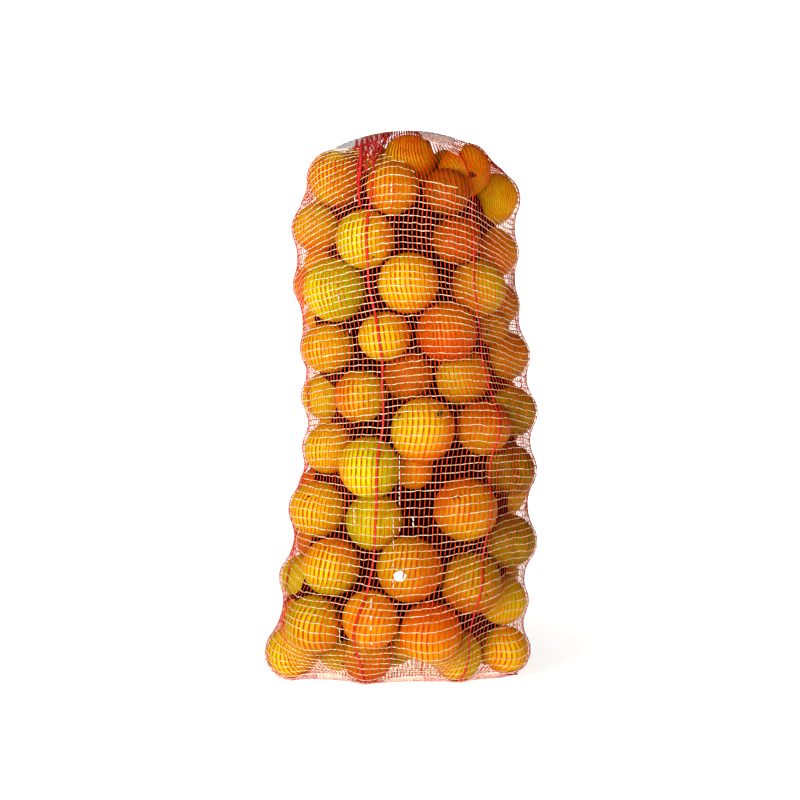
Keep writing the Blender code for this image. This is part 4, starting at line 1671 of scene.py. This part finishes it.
# stretches of the hem's points that the binding shows on
BOUND = ((0, 118), (150, 175), (238, 262), (330, HEM_POINTS))
low_edge, low_out = hem_line(-0.6 * MM, 0.0)
high_edge, high_out = hem_line((HEM_THREADS + 0.2) * HEM_PITCH, 0.35 * HEM_THREADS)


def binding(first, last):
    """The zigzag thread over the hem between two of its points."""
    index = np.arange(first, last, BINDING_PITCH)
    is_low = (np.arange(len(index)) % 2 == 1)[:, None]
    edge = np.where(is_low, low_edge[index], high_edge[index])
    out = np.where(is_low, low_out[index], high_out[index])
    return edge + out * BINDING_LIFT, out, 0.8 + 0.5 * hand_rng.uniform(size=len(index))


bound = [binding(*stretch) for stretch in BOUND]
hem_binding = thread_piece("hem_binding", bound, BINDING_WIDTH, BINDING_THICKNESS,
                           stitch_yarn)

# %% Fray the corners
FRAY_COUNT = 46
FRAY_LENGTH = 7.0 * MM
FRAY_POINTS = 6
FRAY_WIDTH = 0.8 * MM
FRAY_THICKNESS = 0.5 * MM
FRAY_LOWEST = 0.7 * MM
# the hem's points near its two corners
FRAY_LEFT = (14, 78)
FRAY_RIGHT = (352, 408)


def frayed_ends():
    """Short loose threads that leave the hem's edge near its two corners."""
    threads = []
    for k in range(FRAY_COUNT):
        near = hand_rng.integers(*(FRAY_RIGHT if k % 5 < 3 else FRAY_LEFT))
        start, out = low_edge[near], low_out[near]
        along = low_edge[near + 2] - low_edge[near - 2]
        along = along / np.linalg.norm(along)
        down = np.cross(along, out)
        down = down * (-1.0 if down[2] > 0.0 else 1.0)
        swing = hand_rng.uniform(-0.9, 0.9)
        length = FRAY_LENGTH * hand_rng.uniform(0.4, 1.0)
        line = []
        for share in np.linspace(-0.3, 1.0, FRAY_POINTS):
            place = start + (down * share + along * swing * share ** 2) * length
            place = place + out * MM * (0.8 + 1.5 * share * hand_rng.uniform(-0.2, 1.0))
            line.append((place[0], place[1], max(place[2], FRAY_LOWEST)))
        threads.append((line, [out] * FRAY_POINTS, np.linspace(1.0, 0.55, FRAY_POINTS)))
    return threads


hem_fringe = thread_piece("hem_fringe", frayed_ends(), FRAY_WIDTH, FRAY_THICKNESS, hem_yarn)

# %% [markdown]
# ## The mouth
# The mouth is laced shut with the same red tape, in a row of narrow loops that stand like
# inverted Vs along the top of the arch. Below the loops the tapes are gathered in a bunch.
# Beside them the spare net is folded over, and its cross threads fan out in a pale patch.

# %% Lace the mouth
LACE_LOW, LACE_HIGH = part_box("mouth_lacing")
LACE_LOOPS = 7
LACE_POINTS = 8
LACE_TALL = 15.0 * MM
LACE_BELOW = 2.5 * MM
LACE_WAVE = 1.6 * MM
LACE_LIFT = 1.1 * MM
LACE_WIDTH = 2.3 * MM
LACE_THICKNESS = 0.9 * MM


def ridge_height(across):
    """Height of the sack's top above places across."""
    ridge = film[-1]
    order = np.argsort(ridge[:, 0])
    return np.interp(across, ridge[order, 0], ridge[order, 2])


def lacing():
    """Overlapping inverted V loops led over the front of the mouth."""
    share = np.linspace(0.0, 1.0, LACE_LOOPS * LACE_POINTS + 1)
    phase = share * LACE_LOOPS * 2.0 * math.pi
    left = LACE_LOW[0] + MM
    right = LACE_HIGH[0] - MM
    across = left + (right - left) * share + LACE_WAVE * np.sin(phase)
    fall = (0.5 + 0.5 * np.cos(phase)) ** 0.8 * (1.0 - 0.3 * share)
    height = ridge_height(across) - LACE_BELOW - LACE_TALL * fall
    lift = LACE_LIFT + 0.5 * MM * np.sin(phase * 0.5)
    return (*laid(across, height, lift), 0.9 + 0.3 * np.sin(3.0 * phase))


mouth_lacing_tape = thread_piece("mouth_lacing_tape", [lacing()], LACE_WIDTH, LACE_THICKNESS,
                                 lace_red)

# %% Gather the tapes below the lacing
BUNCH_TAPES = 9
STRIP_ACROSS = -0.0465
STRIP_TOP = 0.630
STRIP_BOTTOM = 0.557
STRIP_LIFT = 1.9 * MM
BUNCH_LEFT = -0.047
BUNCH_SPREAD = 0.016
BUNCH_SWAY = 0.0012
BUNCH_BELOW = 0.012
BUNCH_SHORTEST = 0.026
BUNCH_WIDTH = 1.9 * MM
BUNCH_THICKNESS = 0.5 * MM
BUNCH_POINTS = 12
STRIP_POINTS = 16


def gathered():
    """Red tapes that run down from the lacing and draw together."""
    fall = np.linspace(0.0, 1.0, BUNCH_POINTS)
    threads = []
    for k in range(BUNCH_TAPES):
        share = k / (BUNCH_TAPES - 1.0)
        across = BUNCH_LEFT + BUNCH_SPREAD * share + 0.010 * share * np.sin(2.5 * fall)
        across = across - 0.004 * fall + BUNCH_SWAY * np.sin(9.0 * fall + 2.0 * k)
        length = BUNCH_SHORTEST + 0.022 * (1.0 - share)
        height = ridge_height(across) - BUNCH_BELOW - length * fall
        line, way = laid(across, height, MM + 0.3 * MM * (k % 3))
        threads.append((line, way, 0.7 + 0.4 * hand_rng.uniform(size=BUNCH_POINTS)))
    return threads


def strip():
    """One wide tape that hangs down from the lacing."""
    fall = np.linspace(0.0, 1.0, STRIP_POINTS)
    across = STRIP_ACROSS + 0.001 * np.sin(7.0 * fall)
    height = STRIP_TOP + (STRIP_BOTTOM - STRIP_TOP) * fall
    return (*laid(across, height, STRIP_LIFT), np.linspace(2.3, 1.5, STRIP_POINTS))


bunched = gathered() + [strip()]
gathered_tapes = thread_piece("gathered_tapes", bunched, BUNCH_WIDTH, BUNCH_THICKNESS,
                              lace_red)

# %% Fold the spare net over
FAN_THREADS = 13
FAN_LEFT = 0.022
FAN_REACH = 0.052
FAN_POINTS = 22


def fan():
    """Pale cross threads that spread from one pinch of the fold down to the right."""
    along = np.linspace(0.0, 1.0, FAN_POINTS)
    threads = []
    for k in range(FAN_THREADS):
        share = k / (FAN_THREADS - 1.0)
        across = FAN_LEFT + FAN_REACH * along - 0.010 * share * along
        drop = 0.0035 + 0.003 * share + (0.004 + 0.016 * share) * along ** 0.8
        drop = drop + 0.001 * np.sin(7.0 * along + 1.3 * k)
        lift = 1.0 * MM + 0.8 * MM * np.sin(math.pi * along)
        line, way = laid(across, ridge_height(across) - drop, lift)
        threads.append((line, way, 0.8 + 0.4 * hand_rng.uniform(size=FAN_POINTS)))
    return threads


folded_net = thread_piece("folded_net", fan(), 1.0 * MM, 0.5 * MM, hem_yarn)

# %% Sheer film at the mouth
PATCH_ACROSS = 26
PATCH_DOWN = 8
PATCH_THICKNESS = 0.25 * MM


def film_patch(name, left, right, depth, floor_height, lift, film_paint):
    """A thin sheet on the film, from the sack's top edge down by depth, closed and thick."""
    shape = bmesh.new()
    share = np.linspace(0.0, 1.0, PATCH_DOWN)
    rows = []
    for across in np.linspace(left, right, PATCH_ACROSS):
        top = ridge_height(across) - 0.3 * MM
        fade = math.sin(math.pi * (across - left) / (right - left)) ** 0.5
        low = min(max(top - depth * fade, floor_height), top - 1.0 * MM)
        ruffle = 0.4 * MM * np.sin(900.0 * across + 5.0 * share)
        spots, _ = laid(across, top + (low - top) * share, lift + ruffle)
        rows.append([shape.verts.new(spot) for spot in spots])
    join_loops(shape, rows, closed=False)
    return thickened(in_scene(name, smooth_mesh(name, shape), film_paint), PATCH_THICKNESS)


sheer_film = streaked("sheer_film", (0.90, 0.84, 0.80), (1.0, 0.97, 0.95), 0.45,
                      (500.0, 500.0, 60.0), 0.5)
pink_film = streaked("pink_fold_film", (0.92, 0.58, 0.46), (1.0, 0.90, 0.84), 0.5,
                     (420.0, 420.0, 420.0), 0.5)
# name, left and right, depth, lowest height and lift in metres, then the material
PATCHES = (
    ("mouth_film", -0.089, -0.045, 0.013, 0.626, 0.0003, sheer_film),
    ("lacing_film", -0.052, -0.022, 0.030, 0.603, 0.0, pink_film),
    ("folded_film", 0.020, 0.062, 0.017, 0.600, 0.0005, pink_film),
)
mouth_film, lacing_film, folded_film = [film_patch(*patch) for patch in PATCHES]
print("film patches:", mouth_film.name, lacing_film.name, folded_film.name)

# %% White dashes, painted glints
# across, bottom and top in millimetres, then how much of it shows and how wide
GLINT_DASHES = (
    (-2, 182, 283, 0.60, 1.0), (-9, 126, 205, 0.55, 1.0), (13.5, 194, 208, 1.0, 1.9),
    (-54, 196, 212, 0.9, 1.3), (-71, 452, 474, 0.5, 1.2), (-11, 560, 583, 0.6, 1.0),
    (-52, 540, 580, 0.4, 1.4), (-66, 556, 584, 0.3, 1.0), (-60, 128, 150, 0.5, 1.0),
    (-70, 60, 100, 0.4, 1.1), (-34, 60, 118, 0.3, 1.5), (-58, 396, 425, 0.4, 1.2),
)
DASH_LENGTH = 6.0 * MM


def glint_dashes():
    """Short stretches of white thread on the front of the net beside some tapes: painted
    highlights in place of glints.
    """
    share = np.array((0.0, 0.33, 0.67, 1.0))
    threads = []
    for across, low, high, shown, width in GLINT_DASHES:
        for k in range(max(1, round((high - low) * MM / DASH_LENGTH))):
            if hand_rng.uniform() > shown:
                continue
            start = low * MM + k * DASH_LENGTH
            sway = 0.4 * MM * np.sin(40.0 * start + 3.0 * share)
            lift = 0.6 * MM + 0.6 * MM * np.sin(math.pi * share)
            line, way = laid(across * MM + sway, start + 0.8 * DASH_LENGTH * share, lift)
            threads.append((line, way, [0.5 * width, width, width, 0.5 * width]))
    return threads


# painted highlight: near white yarn that stands in for glints on the tapes and peel
glint_paint = streaked("painted_glint_yarn", (0.86, 0.82, 0.76), (0.98, 0.97, 0.94), 0.5,
                      (400.0, 400.0, 400.0), 0.4)
white_dashes = thread_piece("white_dashes", glint_dashes(), 1.0 * MM, 0.7 * MM, glint_paint)

# %% [markdown]
# ## The white disc
# A round scrap of white film is caught in the threads low on the front. It is thin and
# creased, so it is a round grid, wrinkled by a few sine waves, then thickened to a closed
# shell that faces outward.

# %% White disc
DISC_LOW, DISC_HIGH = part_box("white_disc")
DISC_RINGS = 7
DISC_STEPS = 40
DISC_WRINKLE = 0.5 * MM
DISC_THICKNESS = 0.35 * MM
DISC_UNEVEN = 0.05
DISC_RAGGED = 0.03


def disc_mesh(name):
    """A creased round of film, just in front of the net."""
    middle = (Vector(DISC_LOW) + Vector(DISC_HIGH)) / 2.0
    half_width = (DISC_HIGH[0] - DISC_LOW[0]) / 2.0
    half_height = (DISC_HIGH[2] - DISC_LOW[2]) / 2.0
    shape = bmesh.new()
    centre = shape.verts.new(middle)
    loops = []
    for i in range(1, DISC_RINGS + 1):
        reach = i / DISC_RINGS
        loop = []
        for turn in circle(DISC_STEPS):
            edge = 1.0 + DISC_UNEVEN * math.sin(5.0 * turn + 0.6)
            edge = edge + DISC_RAGGED * math.sin(9.0 * turn)
            wave = math.sin(3.0 * turn + 4.0 * reach) * reach + 0.5 * math.sin(7.0 * turn)
            loop.append(shape.verts.new(middle + Vector((
                half_width * reach * edge * math.cos(turn), DISC_WRINKLE * wave * reach,
                half_height * reach * edge * math.sin(turn)))))
        loops.append(loop)
    for near, ahead in zip(loops[0], loops[0][1:] + loops[0][:1]):
        shape.faces.new((centre, near, ahead))
    for inner, outer in zip(loops, loops[1:]):
        for k in range(DISC_STEPS):
            ahead = (k + 1) % DISC_STEPS
            shape.faces.new((inner[k], outer[k], outer[ahead], inner[ahead]))
    return thickened(in_scene(name, smooth_mesh(name, shape), white_film), DISC_THICKNESS)


white_film = streaked("white_film", (0.72, 0.70, 0.66), (0.92, 0.91, 0.88), 0.4,
                      (300.0, 300.0, 300.0), 0.4)
creased_disc = disc_mesh("creased_disc")
print("disc half width in mm:", round((DISC_HIGH[0] - DISC_LOW[0]) / 2.0 / MM, 1))

# %% [markdown]
# ## Tie the pieces to the frame
# Nothing on a sack of oranges moves by itself, so every piece rides on the one body. The
# fruit and the net together stand for the imported solid of the full net, and the lacing and
# the disc stand for their own solids.

# %% Ride and replace
trimmings = [dark_core, stem_buttons, peel_marks, leaf_tip, bottom_hem, hem_binding,
             hem_fringe, gathered_tapes, folded_net, mouth_film, lacing_film, folded_film,
             white_dashes, hem_band]
for piece in fruit_pieces + net_pieces + trimmings:
    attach(piece, "root")
    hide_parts("net_of_oranges")
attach(mouth_lacing_tape, "root")
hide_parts("mouth_lacing")
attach(creased_disc, "root")
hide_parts("white_disc")

# %% [markdown]
# ## Floor, light and camera
# The sack stands on a pale floor in front of near white. The key light is broad and stands
# to the left, so the fruit is round and the right side falls into shade. A small light close
# beside the camera gives each orange one glint near its middle, and a soft one from above
# lifts the mouth. The camera looks from a little below the top, at the whole front.

# %% Floor and world
FLOOR_HALF = 12.0
AMBIENT = 0.10
BACKDROP = 0.95
# the floor's own glow grows from near the sack out to the backdrop
GLOW_NEAR = 0.56
GLOW_FROM = 0.2
GLOW_TO = 2.6
floor_shape = bmesh.new()
bmesh.ops.create_grid(floor_shape, x_segments=4, y_segments=4, size=FLOOR_HALF)
floor_paint, floor_nodes, floor_shader = new_material("pale_floor", 0.9)
floor_shader.inputs["Base Color"].default_value = (0.62, 0.62, 0.62, 1.0)
floor_shader.inputs["Emission Color"].default_value = (1.0, 1.0, 1.0, 1.0)
floor_place = node(floor_nodes, "ShaderNodeTexCoord")
floor_far = node(floor_nodes, "ShaderNodeVectorMath", {0: floor_place.outputs["Object"]},
                 operation="LENGTH")
floor_glow = node(floor_nodes, "ShaderNodeMapRange",
                  {"Value": floor_far.outputs["Value"], "From Min": GLOW_FROM,
                   "From Max": GLOW_TO, "To Min": GLOW_NEAR, "To Max": BACKDROP})
floor_nodes.links.new(floor_glow.outputs[0], floor_shader.inputs["Emission Strength"])
floor = in_scene("floor", smooth_mesh("floor", floor_shape), floor_paint)
world = bpy.data.worlds.new("studio")
world.use_nodes = True
ray = node(world.node_tree, "ShaderNodeLightPath")
glow = node(world.node_tree, "ShaderNodeMapRange",
            {"Value": ray.outputs["Is Camera Ray"], "To Min": AMBIENT, "To Max": BACKDROP})
backdrop = world.node_tree.nodes["Background"]
backdrop.inputs["Color"].default_value = (1.0, 1.0, 1.0, 1.0)
world.node_tree.links.new(glow.outputs[0], backdrop.inputs["Strength"])
bpy.context.scene.world = world
print("floor in metres:", 2.0 * FLOOR_HALF)

# %% Lights
LIGHTS = (
    ("beside_camera", (-0.30, -2.1, 0.42), 0.25, 7.0),
    ("key_from_left", (-1.0, -1.9, 0.62), 0.6, 21.5),
    ("over_the_top", (-0.3, -0.4, 2.2), 1.2, 5.0),
)
AIM = Vector((0.0, 0.0, 0.33))


def aimed(name, device, place, target):
    """A lamp or a camera at a place, looking at a target."""
    made = in_scene(name, device)
    made.location = place
    made.rotation_euler = (target - place).to_track_quat("-Z", "Y").to_euler()
    return made


for name, place, size, power in LIGHTS:
    lamp = bpy.data.lights.new(name, "AREA")
    lamp.size = size
    lamp.energy = power
    aimed(name, lamp, Vector(place), AIM)
print("lights:", [entry[0] for entry in LIGHTS])

# %% Camera
CAMERA_PLACE = Vector((-SACK_MIDDLE[0], -EYE_AWAY, EYE_HEIGHT))
CAMERA_AIM = Vector((-SACK_MIDDLE[0], 0.0, 0.3325))
lens = bpy.data.cameras.new("front_view")
lens.lens = 75.4
lens.sensor_width = 36.0
bpy.context.scene.camera = aimed("front_view", lens, CAMERA_PLACE, CAMERA_AIM)
bpy.context.scene.view_settings.view_transform = "Standard"
bpy.context.scene.view_settings.look = "High Contrast"
print("camera distance in metres:", CAMERA_PLACE.length)
